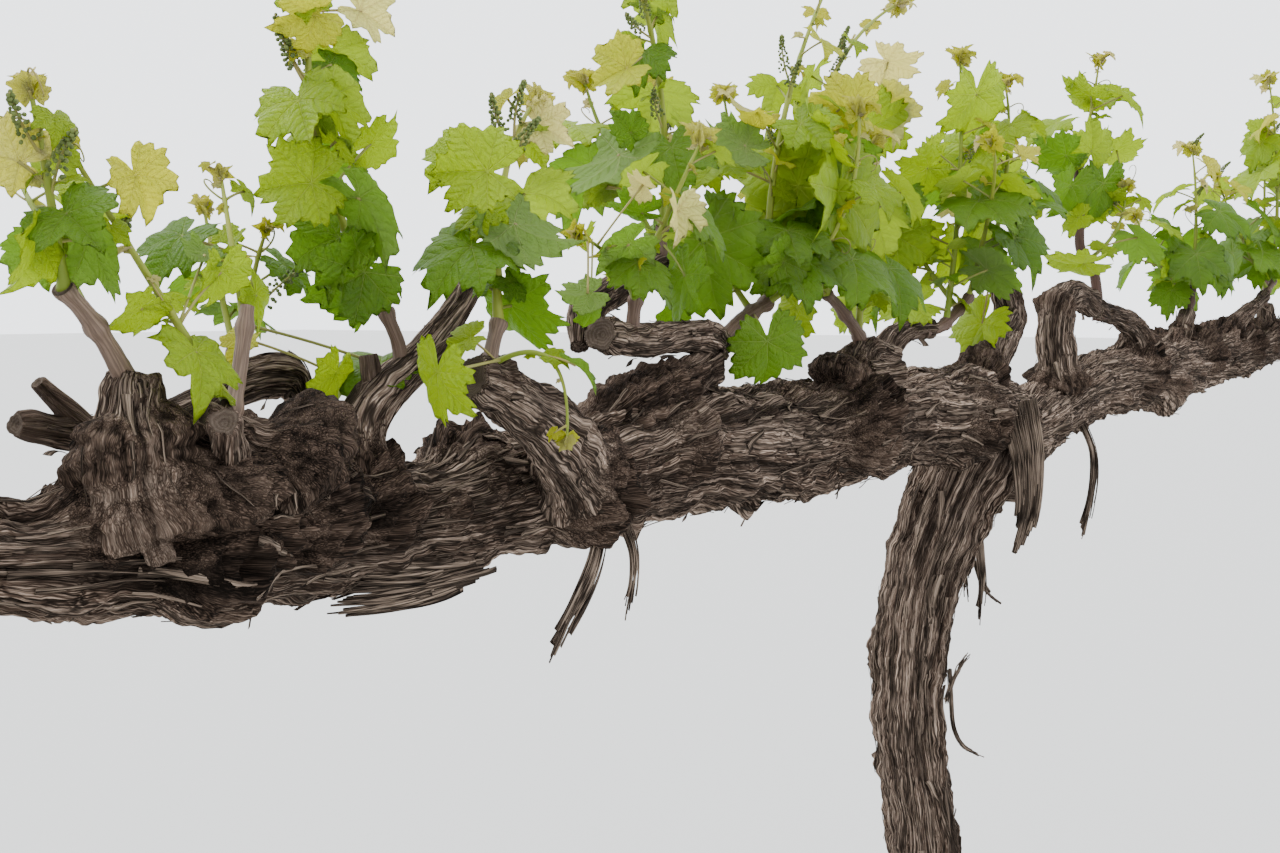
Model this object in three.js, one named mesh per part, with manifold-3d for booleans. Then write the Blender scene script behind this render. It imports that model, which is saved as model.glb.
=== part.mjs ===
// An old spur-pruned grapevine in spring: a leaning trunk, two long gnarled arms that run along
// the row, the short spurs on them, last year's canes, and the young leafy shoots.
// Millimetres, +Z up, +X along the row, +Y to the back. The origin is the middle of the flat cut
// under the trunk, at ground level.
import * as THREE from "three";
import { mergeVertices } from "three/addons/utils/BufferGeometryUtils.js";
import Module from "manifold-3d";

const wasm = await Module();
wasm.setup();

// Driving sizes
const ARM_HEIGHT = 1000;
const JOINT_GAP = 0.5;
const LEAF_GAP = 0.5;
const SMALLEST_EDGE = 0.2;
const CROWN_DEPTH = 210;
const CROWN_TOP = 1560;
const LEAF_THICKNESS_SHARE = 0.02;
const THINNEST_LEAF = 0.8;
const PETIOLE_SHARE = 0.85;
const PETIOLE_RADIUS = 1.5;
const CLUSTER_LENGTH = 42;
const CLUSTER_STEPS = [3];
const CLUSTER_SHOOT = 6;
const TURN_TRIES = [0, 28, -28, 56, -56, 84];

// Colours
const BARK = { color: 0x4d3d33, roughness: 0.95, metalness: 0 };
const YOUNG_WOOD = { color: 0x6e5140, roughness: 0.85, metalness: 0 };
const STRIP = { color: 0x5f4f44, roughness: 0.95, metalness: 0 };
const LEAF = { color: 0x7fa51f, roughness: 0.6, metalness: 0 };

// Half of a leaf's outline, lobes and the hollows between them in turn: degrees from the midrib,
// and share of the distance to the tip
const HALF_OUTLINE = [[0, 1], [28, 0.73], [55, 0.93], [96, 0.78], [142, 0.7]];
const STALK_NOTCH = 0.12;
const NOTCH_ANGLE = 168;

// The woody limbs. An arm's z values lie close to ARM_HEIGHT.
const TRUNK = {
  path: [[0, 0, -25], [-20, 10, 170], [-50, 27, 350], [-74, 38, 528], [-94, 48, 665],
    [-88, 43, 790], [-60, 25, 885], [-14, 2, 962], [46, -6, 1004]],
  radii: [68, 47, 42, 39, 40, 43, 49, 55, 46],
  sides: 16, rings: 20, flutes: 5, flute: 0.07, twist: 1.4,
};
const LEFT_ARM = {
  path: [[58, -2, 996], [-90, -8, ARM_HEIGHT + 6], [-240, -2, ARM_HEIGHT + 14], [-420, 4, ARM_HEIGHT + 3],
    [-620, -4, ARM_HEIGHT + 6], [-820, 2, ARM_HEIGHT], [-1020, 6, ARM_HEIGHT - 20],
    [-1240, -6, ARM_HEIGHT - 12], [-1480, 4, ARM_HEIGHT + 12]],
  radii: [44, 54, 50, 51, 52, 45, 41, 37, 22],
  sides: 11, rings: 33, flutes: 4, flute: 0.05, twist: 5,
  burls: [[-120, -20, 1006, 54], [-395, -26, 1020, 52], [-480, 4, 1018, 44], [-700, -16, 1014, 44],
    [-850, -40, 990, 42], [-930, 6, 1002, 44], [-1060, -6, 996, 43], [-1135, -28, 1004, 43],
    [-1218, -36, 984, 40], [-1180, -30, 1004, 38], [-1278, -16, 1006, 38], [-1400, 2, 1008, 34]],
};
const RIGHT_ARM = {
  path: [[20, -2, 968], [120, -4, 986], [250, 2, ARM_HEIGHT + 8], [400, 4, ARM_HEIGHT + 26],
    [620, -4, ARM_HEIGHT + 36], [860, 4, ARM_HEIGHT + 44], [1100, -2, ARM_HEIGHT + 54],
    [1430, 2, ARM_HEIGHT + 74]],
  radii: [46, 44, 41, 43, 43, 40, 36, 22],
  sides: 11, rings: 29, flutes: 4, flute: 0.05, twist: -4,
  burls: [[505, -8, 1038, 47], [596, -14, 1016, 42], [700, 8, 1052, 45], [790, -10, 1058, 43],
    [930, 8, 1064, 43], [1040, -8, 1064, 41], [1180, 4, 1070, 40], [1330, 0, 1076, 34]],
};

// The spurs: short old limbs. Each starts inside its arm, and is cut clear of it.
const SPURS = {
  head_spur: {
    path: [[-62, -4, 1022], [16, 0, 1078], [72, 4, 1116], [66, 6, 1150], [40, 4, 1180]],
    radii: [26, 23, 21, 18, 13],
  },
  left_spur_1: {
    path: [[-240, 24, 1030], [-216, 24, 1082], [-180, 20, 1102], [-128, 12, 1106]],
    radii: [20, 15, 12, 10],
  },
  left_spur_2: {
    path: [[-388, -18, 1030], [-378, -24, 1066], [-360, -28, 1084], [-318, -34, 1078]],
    radii: [30, 22, 15, 11],
    burls: [[-404, -22, 1062, 20]],
  },
  left_spur_3_lower: {
    path: [[-820, -2, 1010], [-752, -6, 1046], [-672, -6, 1064], [-606, 0, 1080]],
    radii: [24, 19, 17, 14],
  },
  left_spur_3_upper: {
    path: [[-584, 2, 1088], [-620, -4, 1103], [-690, -10, 1104], [-752, -18, 1103], [-802, -22, 1108]],
    radii: [13, 15, 14, 15, 13],
  },
  left_spur_3_back: {
    path: [[-800, 2, 1098], [-776, 12, 1126], [-716, 20, 1146], [-648, 26, 1164]],
    radii: [12, 13, 13, 9],
  },
  left_spur_4: {
    path: [[-838, -24, 1000], [-902, -62, 1020], [-956, -82, 1050], [-1004, -88, 1072], [-1042, -90, 1084]],
    radii: [31, 27, 23, 19, 13],
    burls: [[-1012, -86, 1080, 19]],
  },
  left_spur_5: {
    path: [[-1076, -8, 1006], [-1066, -14, 1050], [-1046, -20, 1074], [-1022, -25, 1092],
      [-996, -28, 1116], [-974, -30, 1140], [-954, -32, 1167]],
    radii: [23, 17, 15, 12, 10, 9, 8.5],
    prong: { path: [[-1050, -18, 1068], [-1054, -15, 1082], [-1055, -13, 1097]], radii: [9, 7, 6] },
  },
  left_spur_6_riser: {
    path: [[-1062, 20, 1000], [-1054, 34, 1036], [-1056, 42, 1064]],
    radii: [22, 17, 15],
  },
  left_spur_6_arch: {
    path: [[-1058, 44, 1069], [-1072, 48, 1084], [-1106, 52, 1081], [-1150, 50, 1064], [-1200, 46, 1055],
      [-1244, 42, 1056], [-1288, 38, 1064]],
    radii: [15, 15, 15, 14, 13, 11, 7],
    prong: { path: [[-1236, 42, 1056], [-1254, 42, 1072], [-1270, 42, 1086]], radii: [8, 7, 5] },
  },
  left_spur_7: {
    path: [[-1160, -34, 1000], [-1180, -46, 1034], [-1212, -52, 1056], [-1240, -56, 1068]],
    radii: [30, 22, 13, 9],
    burls: [[-1180, -56, 1036, 25], [-1160, -52, 1046, 21]],
    sides: 9, rings: 8,
  },
  left_spur_8: {
    path: [[-1246, -20, 1000], [-1264, -30, 1036], [-1268, -31, 1066], [-1264, -31, 1090]],
    radii: [36, 30, 20, 13],
    burls: [[-1238, -48, 1028, 27], [-1258, -44, 1056, 23], [-1284, -36, 1050, 22]],
    sides: 10, rings: 9,
  },
  left_spur_9: {
    path: [[-1430, 0, 1000], [-1436, 4, 1036], [-1428, 8, 1064]],
    radii: [20, 16, 12],
  },
  right_spur_1: {
    path: [[204, -6, 1004], [188, -14, 1060], [174, -16, 1104], [186, -16, 1134], [236, -20, 1144],
      [292, -20, 1130]],
    radii: [29, 24, 22, 21, 17, 13],
    burls: [[176, -16, 1128, 24]],
  },
  right_spur_2: {
    path: [[512, -8, 1046], [500, -12, 1082], [462, -14, 1104], [400, -15, 1116], [330, -13, 1126]],
    radii: [24, 19, 16, 13, 11],
  },
  right_spur_3: {
    path: [[742, 4, 1062], [756, 4, 1094], [776, 2, 1118]],
    radii: [21, 16, 12],
  },
  right_spur_4: {
    path: [[950, -4, 1070], [976, -12, 1098], [1014, -18, 1116], [1064, -20, 1130], [1120, -22, 1148]],
    radii: [22, 16, 13, 11, 9],
  },
  right_spur_5: {
    path: [[1236, 4, 1074], [1242, 6, 1104], [1234, 6, 1130]],
    radii: [19, 15, 11],
  },
};

// Long strips of loose bark that hang from the arms and the trunk
const STRIPS = {
  bark_strip_arm_1: { width: 30, path: [[-52, -60, 1022], [-36, -66, 965], [-34, -66, 905], [-66, -64, 852]] },
  bark_strip_arm_2: { width: 18, path: [[242, -24, 992], [230, -48, 946], [208, -53, 890], [176, -48, 832]] },
  bark_strip_arm_3: { width: 14, path: [[-840, -48, 962], [-874, -64, 938], [-908, -68, 908], [-938, -68, 880]] },
  bark_strip_arm_4: { width: 8, path: [[-800, -42, 964], [-799, -50, 940], [-806, -52, 914], [-818, -50, 888]] },
  bark_slab: { width: 26, path: [[-1100, -14, 950], [-1044, -22, 945], [-990, -24, 944], [-936, -26, 950]] },
  bark_strip_trunk: { width: 16, path: [[-32, -4, 884], [-12, -2, 838], [-8, -2, 800], [-18, 0, 762]] },
};
const STRIP_THICKNESS = 5;

// The masses of foliage. A stem is a cane of last year's wood, and each shoot leaves it at a share
// of its length, ends at its tip, and bows sideways between. Its side is the compass direction, in
// degrees from +X, in which its lowest leaf grows.
const MASSES = {
  foliage_left_end: {
    seed: 3,
    stem: { path: [[-1430, 8, 1058], [-1438, 4, 1086], [-1452, -2, 1116]], radii: [7, 6.5, 6] },
    shoots: [
      { at: 0.95, tip: [-1440, -20, 1335], bow: [-26, 0, 10], nodes: 5, leaf: 48, side: 250, thick: 4.2 },
      { at: 0.6, tip: [-1500, 40, 1240], bow: [10, 10, 20], nodes: 3, leaf: 42, side: 100, thick: 3.8 },
    ],
  },
  foliage_left_8: {
    seed: 11,
    stem: {
      path: [[-1264, -30, 1084], [-1284, -35, 1108], [-1304, -40, 1128], [-1320, -44, 1140]],
      radii: [9, 7, 6.5, 6],
    },
    shoots: [
      { at: 0.97, tip: [-1352, -62, 1242], bow: [-6, -8, 4], nodes: 4, leaf: 38, side: 250, thick: 4 },
      { at: 0.5, tip: [-1275, 52, 1205], bow: [0, 12, 16], nodes: 3, leaf: 36, side: 80, thick: 3.4 },
    ],
  },
  foliage_left_7: {
    seed: 5,
    stem: {
      path: [[-1208, -45, 1044], [-1204, -44, 1066], [-1194, -40, 1092], [-1182, -35, 1130]],
      radii: [8, 6.5, 6, 5.5],
    },
    shoots: [
      { at: 0.4, tip: [-1326, -52, 1218], bow: [8, -2, -14], nodes: 4, leaf: 36, side: 240, thick: 4.4 },
      { at: 0.9, tip: [-1150, 20, 1212], bow: [4, 8, 18], nodes: 3, leaf: 34, side: 160, thick: 3 },
    ],
  },
  foliage_left_6: {
    seed: 19,
    stem: { path: [[-1120, 50, 1084], [-1116, 46, 1100], [-1112, 40, 1118]], radii: [6, 5, 4.5] },
    shoots: [
      { at: 0.95, tip: [-1120, 10, 1180], bow: [6, 6, 8], nodes: 3, leaf: 30, side: 300, thick: 3 },
      { at: 0.5, tip: [-1095, 96, 1200], bow: [4, 8, 10], nodes: 3, leaf: 32, side: 60, thick: 3.2 },
    ],
  },
  foliage_left_5: {
    seed: 8,
    stem: { path: [[-1034, -24, 1090], [-1038, -23, 1108], [-1048, -22, 1128]], radii: [7, 6, 5.5] },
    shoots: [
      { at: 0.95, tip: [-1068, -18, 1392], bow: [-60, -4, 6], nodes: 8, leaf: 44, side: 215, thick: 4.6 },
    ],
  },
  foliage_left_4: {
    seed: 14,
    stem: { path: [[-1030, -90, 1082], [-1024, -90, 1098], [-1012, -88, 1120]], radii: [8, 6.5, 6] },
    shoots: [
      { at: 0.95, tip: [-956, -78, 1270], bow: [-16, 0, 16], nodes: 6, leaf: 46, side: 190, thick: 4.4 },
      { at: 0.3, tip: [-1010, -140, 1040], bow: [-6, -24, 30], nodes: 2, leaf: 30, side: 290, thick: 2.6 },
    ],
  },
  foliage_left_3_front: {
    seed: 21,
    stem: { path: [[-760, -22, 1110], [-758, -24, 1134], [-754, -26, 1154]], radii: [7.5, 6.5, 6] },
    shoots: [
      { at: 0.5, tip: [-880, -52, 1182], bow: [0, -4, 8], nodes: 3, leaf: 40, side: 250, thick: 3.4 },
      { at: 0.95, tip: [-738, -74, 1262], bow: [-8, -10, 10], nodes: 4, leaf: 50, side: 300, thick: 3.6 },
    ],
  },
  foliage_left_3_back: {
    seed: 27,
    stem: { path: [[-652, 26, 1162], [-648, 24, 1180], [-652, 20, 1198]], radii: [6.5, 6, 5.5] },
    shoots: [
      { at: 0.95, tip: [-770, -2, 1440], bow: [34, 2, 20], nodes: 7, leaf: 52, side: 200, thick: 4.4 },
      { at: 0.4, tip: [-640, 110, 1330], bow: [8, 20, 16], nodes: 3, leaf: 54, side: 90, thick: 4 },
    ],
  },
  foliage_left_3_end: {
    seed: 33,
    stem: {
      path: [[-586, 2, 1098], [-556, 0, 1116], [-530, 0, 1126], [-506, 0, 1134]],
      radii: [10, 9, 8.5, 7],
    },
    shoots: [
      { at: 0.97, tip: [-398, -10, 1448], bow: [-44, -4, 4], nodes: 7, leaf: 62, side: 205, thick: 5 },
      { at: 0.9, tip: [-458, -66, 1310], bow: [4, -26, -16], nodes: 5, leaf: 62, side: 265, thick: 4.6 },
      { at: 0.6, tip: [-566, 80, 1330], bow: [0, 26, 10], nodes: 4, leaf: 54, side: 110, thick: 4 },
    ],
  },
  foliage_left_2: {
    seed: 41,
    stem: {
      path: [[-362, -26, 1078], [-374, -24, 1104], [-400, -20, 1126], [-428, -18, 1142]],
      radii: [9, 7.5, 7, 6],
    },
    shoots: [
      { at: 0.3, tip: [-360, -34, 1290], bow: [-16, -6, 0], nodes: 5, leaf: 64, side: 280, thick: 4.8 },
      { at: 0.97, tip: [-280, -20, 1432], bow: [-70, 8, 30], nodes: 7, leaf: 62, side: 240, thick: 4.8 },
      { at: 0.6, tip: [-420, 100, 1340], bow: [0, 30, 10], nodes: 4, leaf: 54, side: 70, thick: 4 },
    ],
  },
  foliage_left_1: {
    seed: 52,
    stem: {
      path: [[-134, 12, 1104], [-104, 8, 1108], [-74, 4, 1124], [-48, 0, 1142]],
      radii: [9.5, 8, 7.5, 6.5],
    },
    shoots: [
      { at: 0.4, tip: [-98, -6, 1404], bow: [18, 0, 0], nodes: 7, leaf: 60, side: 290, thick: 4.8 },
      { at: 0.95, tip: [-160, -70, 1300], bow: [10, -10, 30], nodes: 4, leaf: 58, side: 300, thick: 4 },
      { at: 0.7, tip: [-130, 92, 1340], bow: [0, 26, 10], nodes: 4, leaf: 52, side: 80, thick: 4 },
    ],
  },
  foliage_head: {
    seed: 64,
    stem: { path: [[42, 4, 1174], [36, 3, 1196], [26, 2, 1214]], radii: [8, 7, 6] },
    shoots: [
      { at: 0.9, tip: [-30, -30, 1380], bow: [10, -6, 14], nodes: 5, leaf: 56, side: 300, thick: 4 },
      { at: 0.5, tip: [70, 60, 1330], bow: [10, 16, 20], nodes: 4, leaf: 48, side: 40, thick: 3.8 },
    ],
  },
  foliage_right_1: {
    seed: 71,
    stem: {
      path: [[338, -13, 1124], [334, -8, 1172], [326, 8, 1204], [326, 10, 1238], [322, 12, 1278],
        [326, 12, 1318]],
      radii: [9.5, 8.5, 8.5, 8, 7.5, 6],
    },
    shoots: [
      { at: 0.64, tip: [190, 112, 1358], bow: [-6, 10, -14], nodes: 4, leaf: 50, side: 40, thick: 5.2 },
      { at: 0.97, tip: [345, -6, 1450], bow: [10, 0, 6], nodes: 4, leaf: 56, side: 130, thick: 3.8 },
      { at: 0.3, tip: [372, -34, 1290], bow: [16, -10, -6], nodes: 4, leaf: 52, side: 300, thick: 3.8 },
    ],
  },
  foliage_right_3: {
    seed: 83,
    stem: { path: [[776, 2, 1110], [784, 0, 1136], [790, 0, 1160]], radii: [8, 7, 6.5] },
    shoots: [
      { at: 0.95, tip: [806, 10, 1370], bow: [20, 0, 10], nodes: 5, leaf: 58, side: 100, thick: 4.6 },
      { at: 0.5, tip: [730, 70, 1270], bow: [0, 16, 10], nodes: 3, leaf: 50, side: 120, thick: 4 },
    ],
  },
  foliage_right_4: {
    seed: 92,
    stem: { path: [[1112, -22, 1146], [1136, -24, 1158], [1158, -26, 1172]], radii: [7.5, 7, 6.5] },
    shoots: [
      { at: 0.95, tip: [1120, -20, 1505], bow: [40, 0, 10], nodes: 7, leaf: 64, side: 130, thick: 5 },
      { at: 0.4, tip: [1010, 30, 1340], bow: [10, 16, 20], nodes: 5, leaf: 56, side: 120, thick: 4.2 },
    ],
  },
  foliage_right_5: {
    seed: 97,
    stem: { path: [[1234, 6, 1122], [1230, 6, 1148], [1238, 6, 1172]], radii: [7.5, 7, 6.5] },
    shoots: [
      { at: 0.95, tip: [1270, 20, 1430], bow: [10, 6, 10], nodes: 5, leaf: 60, side: 60, thick: 4.4 },
    ],
  },
  foliage_right_end: {
    seed: 99,
    stem: { path: [[1410, 2, 1090], [1418, 2, 1116], [1430, 2, 1144]], radii: [9, 7, 6.5] },
    shoots: [
      { at: 0.95, tip: [1440, -10, 1390], bow: [14, 6, 10], nodes: 5, leaf: 54, side: 330, thick: 4.2 },
      { at: 0.5, tip: [1480, 50, 1270], bow: [4, 6, 16], nodes: 3, leaf: 48, side: 60, thick: 3.8 },
    ],
  },
};

const vec = ([x, y, z]) => new THREE.Vector3(x, y, z);
const UP = new THREE.Vector3(0, 0, 1);

// A seeded row of numbers from 0 to 1
function dice(seed) {
  let state = (seed * 2654435761) >>> 0;
  return () => {
    state = (Math.imul(state, 1664525) + 1013904223) >>> 0;
    return state / 4294967296;
  };
}

// Solids and geometries, one to the other
function solidOf(geometry) {
  const bare = geometry.clone();
  bare.deleteAttribute("normal");
  bare.deleteAttribute("uv");
  const merged = mergeVertices(bare, 1e-4);
  return new wasm.Manifold(new wasm.Mesh({
    numProp: 3,
    vertProperties: new Float32Array(merged.attributes.position.array),
    triVerts: new Uint32Array(merged.index.array),
  }));
}

function geometryOf(solid) {
  const { numProp, numVert, vertProperties, triVerts } = solid.getMesh();
  const position = new Float32Array(numVert * 3);
  for (let i = 0; i < numVert; i++) {
    position.set(vertProperties.subarray(i * numProp, i * numProp + 3), i * 3);
  }
  const geometry = new THREE.BufferGeometry();
  geometry.setAttribute("position", new THREE.BufferAttribute(position, 3));
  geometry.setIndex(new THREE.BufferAttribute(new Uint32Array(triVerts), 1));
  geometry.computeVertexNormals();
  return geometry;
}

function largest(solid) {
  const piece = solid.decompose().sort((a, b) => b.volume() - a.volume())[0];
  return piece.asOriginal().simplify(SMALLEST_EDGE);
}

// Fuses two solids at once, so that the union is worked out only here
function fuse(a, b) {
  const both = a.add(b);
  both.status();
  return both;
}

// A value along a row of numbers that are spread evenly from t = 0 to t = 1
function along(values, t) {
  const place = t * (values.length - 1);
  const i = Math.min(Math.floor(place), values.length - 2);
  return values[i] + (values[i + 1] - values[i]) * (place - i);
}

const limbCurve = (path) => new THREE.CatmullRomCurve3(path.map(vec), false, "catmullrom", 0.5);

// Bends an upright unit stock, from y = -0.5 to y = 0.5, along a curve. reach gives how far out a
// point lies, from the share t of the curve, the curve's point there, and the stock's x and z.
function bend(stock, curve, reach, grow = 0) {
  const position = stock.attributes.position;
  const start = curve.getTangent(0);
  const across = Math.abs(start.y) < 0.9 ? new THREE.Vector3(0, 1, 0) : new THREE.Vector3(1, 0, 0);
  for (let i = 0; i < position.count; i++) {
    const t = THREE.MathUtils.clamp(position.getY(i) + 0.5, 0, 1);
    const tangent = curve.getTangent(t);
    const side = across.clone().addScaledVector(tangent, -across.dot(tangent)).normalize();
    const front = new THREE.Vector3().crossVectors(tangent, side);
    const middle = curve.getPoint(t);
    const [outward, far] = reach(t, middle, front, side, position.getX(i), position.getZ(i));
    const end = t < 1e-6 ? -grow : t > 1 - 1e-6 ? grow : 0;
    const point = middle.clone().addScaledVector(outward, far).addScaledVector(tangent, end);
    position.setXYZ(i, point.x, point.y, point.z);
  }
  return solidOf(stock);
}

// How far from a point, in a direction, a ball's surface is left behind
function leaveBall([x, y, z, radius], point, direction) {
  const toBall = new THREE.Vector3(x, y, z).sub(point);
  const nearest = direction.dot(toBall);
  const inside = radius * radius - toBall.lengthSq() + nearest * nearest;
  return inside > 0 ? nearest + Math.sqrt(inside) : 0;
}

// A tapering round limb, closed at both ends. Its burls swell it: each is a ball that it covers.
function tube(path, radii, sides, rings, grow = 0, shape = () => 1, burls = []) {
  const reach = (t, middle, front, side, x, z) => {
    const out = Math.hypot(x, z);
    if (out < 0.5) return [front, 0];
    const direction = front.clone().multiplyScalar(x / out).addScaledVector(side, z / out);
    const plain = along(radii, t) * shape(t, Math.atan2(z, x));
    const far = Math.max(plain, ...burls.map((burl) => leaveBall(burl, middle, direction)));
    return [direction, far + grow];
  };
  return bend(new THREE.CylinderGeometry(1, 1, 1, sides, rings), limbCurve(path), reach, grow);
}

// An old limb, fluted along its twisting grain
function limb(spec, grow = 0) {
  const { path, radii, burls, prong } = spec;
  const { sides = 7, rings = path.length * 2 - 2, flutes = 3, flute = 0.06, twist = 2 } = spec;
  const shape = (t, angle) => 1 + flute * Math.cos(flutes * angle + twist * t)
    + 0.6 * flute * Math.cos((flutes + 2) * angle - twist * 3 * t + radii[0]);
  const made = tube(path, radii, sides, rings, grow, shape, burls);
  return prong ? fuse(made, tube(prong.path, prong.radii, 6, 2, grow)) : made;
}

// A loose strip of bark, thinner and narrower to its free end
function strip({ path, width }) {
  const reach = (t, middle, front, side, x, z) => {
    const offset = front.clone().multiplyScalar(x * width / 2 * (1 - 0.6 * t * t))
      .addScaledVector(side, z * STRIP_THICKNESS / 2 * (1 - 0.5 * t));
    return [offset.clone().normalize(), offset.length()];
  };
  return bend(new THREE.BoxGeometry(2, 1, 2, 1, 6, 1), limbCurve(path), reach);
}

// A leaf with its stalk, as one closed fan of faces. It is cupped between the veins and droops to
// its edge. The blade lies from the junction at the origin, its tip to +x and its upper face to +z,
// and the stalk runs from the notch to the root.
function leafGeometry(reach, stalkPoints) {
  const turns = [...HALF_OUTLINE, [NOTCH_ANGLE, STALK_NOTCH], [-NOTCH_ANGLE, STALK_NOTCH],
    ...HALF_OUTLINE.slice(1).toReversed().map(([degrees, share]) => [-degrees, share])];
  const thickness = Math.max(reach * LEAF_THICKNESS_SHARE, THINNEST_LEAF);
  const rim = turns.map(([degrees, share], i) => {
    const angle = THREE.MathUtils.degToRad(degrees);
    const cup = share > 0.7 && share < 0.8 ? 0.08 : 0;
    return [Math.cos(angle) * share, Math.sin(angle) * share, cup - 0.2 * share * share].map((x) => x * reach);
  });
  const count = rim.length;
  const under = count + 1;
  const stalkEdge = HALF_OUTLINE.length;
  const faces = [];
  for (let i = 0; i < count; i++) {
    const here = 1 + i;
    const next = 1 + (i + 1) % count;
    faces.push(0, here, next, under, under + next, under + here);
    if (i !== stalkEdge) faces.push(here, under + here, under + next, here, under + next, next);
  }
  const points = [[0, 0, 0], ...rim];
  points.push(...points.map(([x, y, z]) => [x, y, z - thickness]));
  let ring = [1 + stalkEdge, under + 1 + stalkEdge, under + 2 + stalkEdge, 2 + stalkEdge];
  for (const corners of stalkPoints) {
    const nextRing = corners.map((_, i) => points.length + i);
    points.push(...corners);
    for (let i = 0; i < 4; i++) {
      const j = (i + 1) % 4;
      faces.push(ring[i], ring[j], nextRing[j], ring[i], nextRing[j], nextRing[i]);
    }
    ring = nextRing;
  }
  faces.push(ring[0], ring[1], ring[2], ring[0], ring[2], ring[3]);
  const geometry = new THREE.BufferGeometry();
  geometry.setAttribute("position", new THREE.BufferAttribute(new Float32Array(points.flat()), 3));
  geometry.setIndex(faces);
  return geometry;
}

// A cluster of flower buds on its stalk
function budCluster(root, direction) {
  const shares = [0, 0.3, 0.62, 1];
  const path = shares.map((share) => root.clone().addScaledVector(direction, share * CLUSTER_LENGTH).toArray());
  return tube(path, [1.5, 1.4, 4.4, 4, 0.9], 4, 4);
}

// How large a leaf is at a share of its shoot's length
const leafShare = (share) => (share < 0.3 ? 0.78 + 0.73 * share : 1 - 1.05 * (share - 0.3));

// Where and how each leaf of a shoot grows: its root, its stalk's end, and the way it faces
function leafPlaces(shoot, curve, roll) {
  const places = [];
  for (let i = 0; i < shoot.nodes; i++) {
    const share = Math.pow((i + 0.8) / shoot.nodes, 0.92);
    const root = curve.getPoint(Math.min(share, 0.985));
    const tangent = curve.getTangent(Math.min(share, 0.985));
    const compass = THREE.MathUtils.degToRad(shoot.side + 180 * (i % 2) + 70 * (roll() - 0.5));
    const out = new THREE.Vector3(Math.cos(compass), Math.sin(compass), 0);
    const reach = shoot.leaf * leafShare(share) * (0.88 + 0.24 * roll());
    const stalkWay = out.clone().multiplyScalar(0.9).addScaledVector(tangent, 0.35 + 0.5 * roll()).normalize();
    const end = root.clone().addScaledVector(stalkWay, reach * PETIOLE_SHARE);
    const droop = -0.2 - 0.6 * roll();
    const sideways = new THREE.Vector3().crossVectors(UP, out);
    const midrib = out.clone().multiplyScalar(0.75).addScaledVector(UP, droop)
      .addScaledVector(sideways, 0.7 * (roll() - 0.5)).normalize();
    const face = out.clone().multiplyScalar(0.5).addScaledVector(UP, 0.8);
    face.addScaledVector(midrib, -face.dot(midrib)).normalize();
    const start = 70 * (roll() - 0.5);
    places.push({ root, out, end, midrib, face, start, reach, step: i });
  }
  return places;
}

// One leaf, turned about its midrib: its blade alone, and the blade with the stalk
function leafOn({ root, end, midrib, face, start, reach }, extraTurn) {
  const turn = THREE.MathUtils.degToRad(start + extraTurn);
  const normal = face.clone().applyAxisAngle(midrib, turn);
  const across = new THREE.Vector3().crossVectors(normal, midrib);
  const toWorld = new THREE.Matrix4().makeBasis(midrib, across, normal).setPosition(end);
  const toLeaf = toWorld.clone().invert();
  const thick = PETIOLE_RADIUS * (0.65 + reach / 130);
  const way = root.clone().sub(end).normalize();
  const top = normal.clone().addScaledVector(way, -normal.dot(way)).normalize();
  const wide = across.clone().addScaledVector(way, -across.dot(way)).normalize();
  const corners = (centre) => [[1, 1], [1, -1], [-1, -1], [-1, 1]].map(([a, b]) => centre.clone()
    .addScaledVector(wide, a * thick).addScaledVector(top, b * thick).applyMatrix4(toLeaf).toArray());
  const blade = solidOf(leafGeometry(reach, []).applyMatrix4(toWorld));
  const whole = solidOf(leafGeometry(reach, [corners(root)]).applyMatrix4(toWorld));
  return { blade, whole };
}

// Whether a solid comes nearer than the leaf gap to any solid of a list
const entry = (solid) => ({ solid, box: solid.boundingBox() });
function near(item, list) {
  return list.some(({ solid, box }) => {
    const apart = [0, 1, 2].some((i) => box.min[i] > item.box.max[i] + LEAF_GAP
      || box.max[i] < item.box.min[i] - LEAF_GAP);
    return !apart && solid.minGap(item.solid, LEAF_GAP * 2) < LEAF_GAP;
  });
}
const inCrown = ({ min, max }) => min[1] > -CROWN_DEPTH && max[1] < CROWN_DEPTH && max[2] < CROWN_TOP;

// The cane and the green shoots of a mass, without leaves
function framework({ stem, shoots }) {
  const cane = limbCurve(stem.path);
  let made = tube(stem.path, stem.radii, 6, stem.path.length - 1);
  const curves = [];
  for (const shoot of shoots) {
    const from = cane.getPoint(shoot.at);
    const tip = vec(shoot.tip);
    const bow = from.clone().lerp(tip, 0.5).add(vec(shoot.bow).multiplyScalar(2));
    const curve = new THREE.QuadraticBezierCurve3(from, bow, tip);
    const path = [0, 0.25, 0.5, 0.75, 1].map((t) => curve.getPoint(t).toArray());
    made = fuse(made, tube(path, [shoot.thick, shoot.thick * 0.3], 4, 5));
    curves.push(curve);
  }
  return { made, curves };
}

// The old wood, each piece cut clear of those before it
const wood = new Map();
let oldWood = null;
function addWood(name, spec, look) {
  let solid = limb(spec);
  if (oldWood) solid = largest(solid.subtract(oldWood));
  wood.set(name, { solid, look });
  oldWood = oldWood ? fuse(oldWood, limb(spec, JOINT_GAP)) : limb(spec, JOINT_GAP);
}
addWood("trunk", TRUNK, BARK);
addWood("left_arm", LEFT_ARM, BARK);
addWood("right_arm", RIGHT_ARM, BARK);
for (const [name, spec] of Object.entries(SPURS)) addWood(name, spec, BARK);

const ground = new THREE.BoxGeometry(600, 600, 200).translate(0, 0, -100);
wood.get("trunk").solid = wood.get("trunk").solid.subtract(solidOf(ground));

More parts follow.
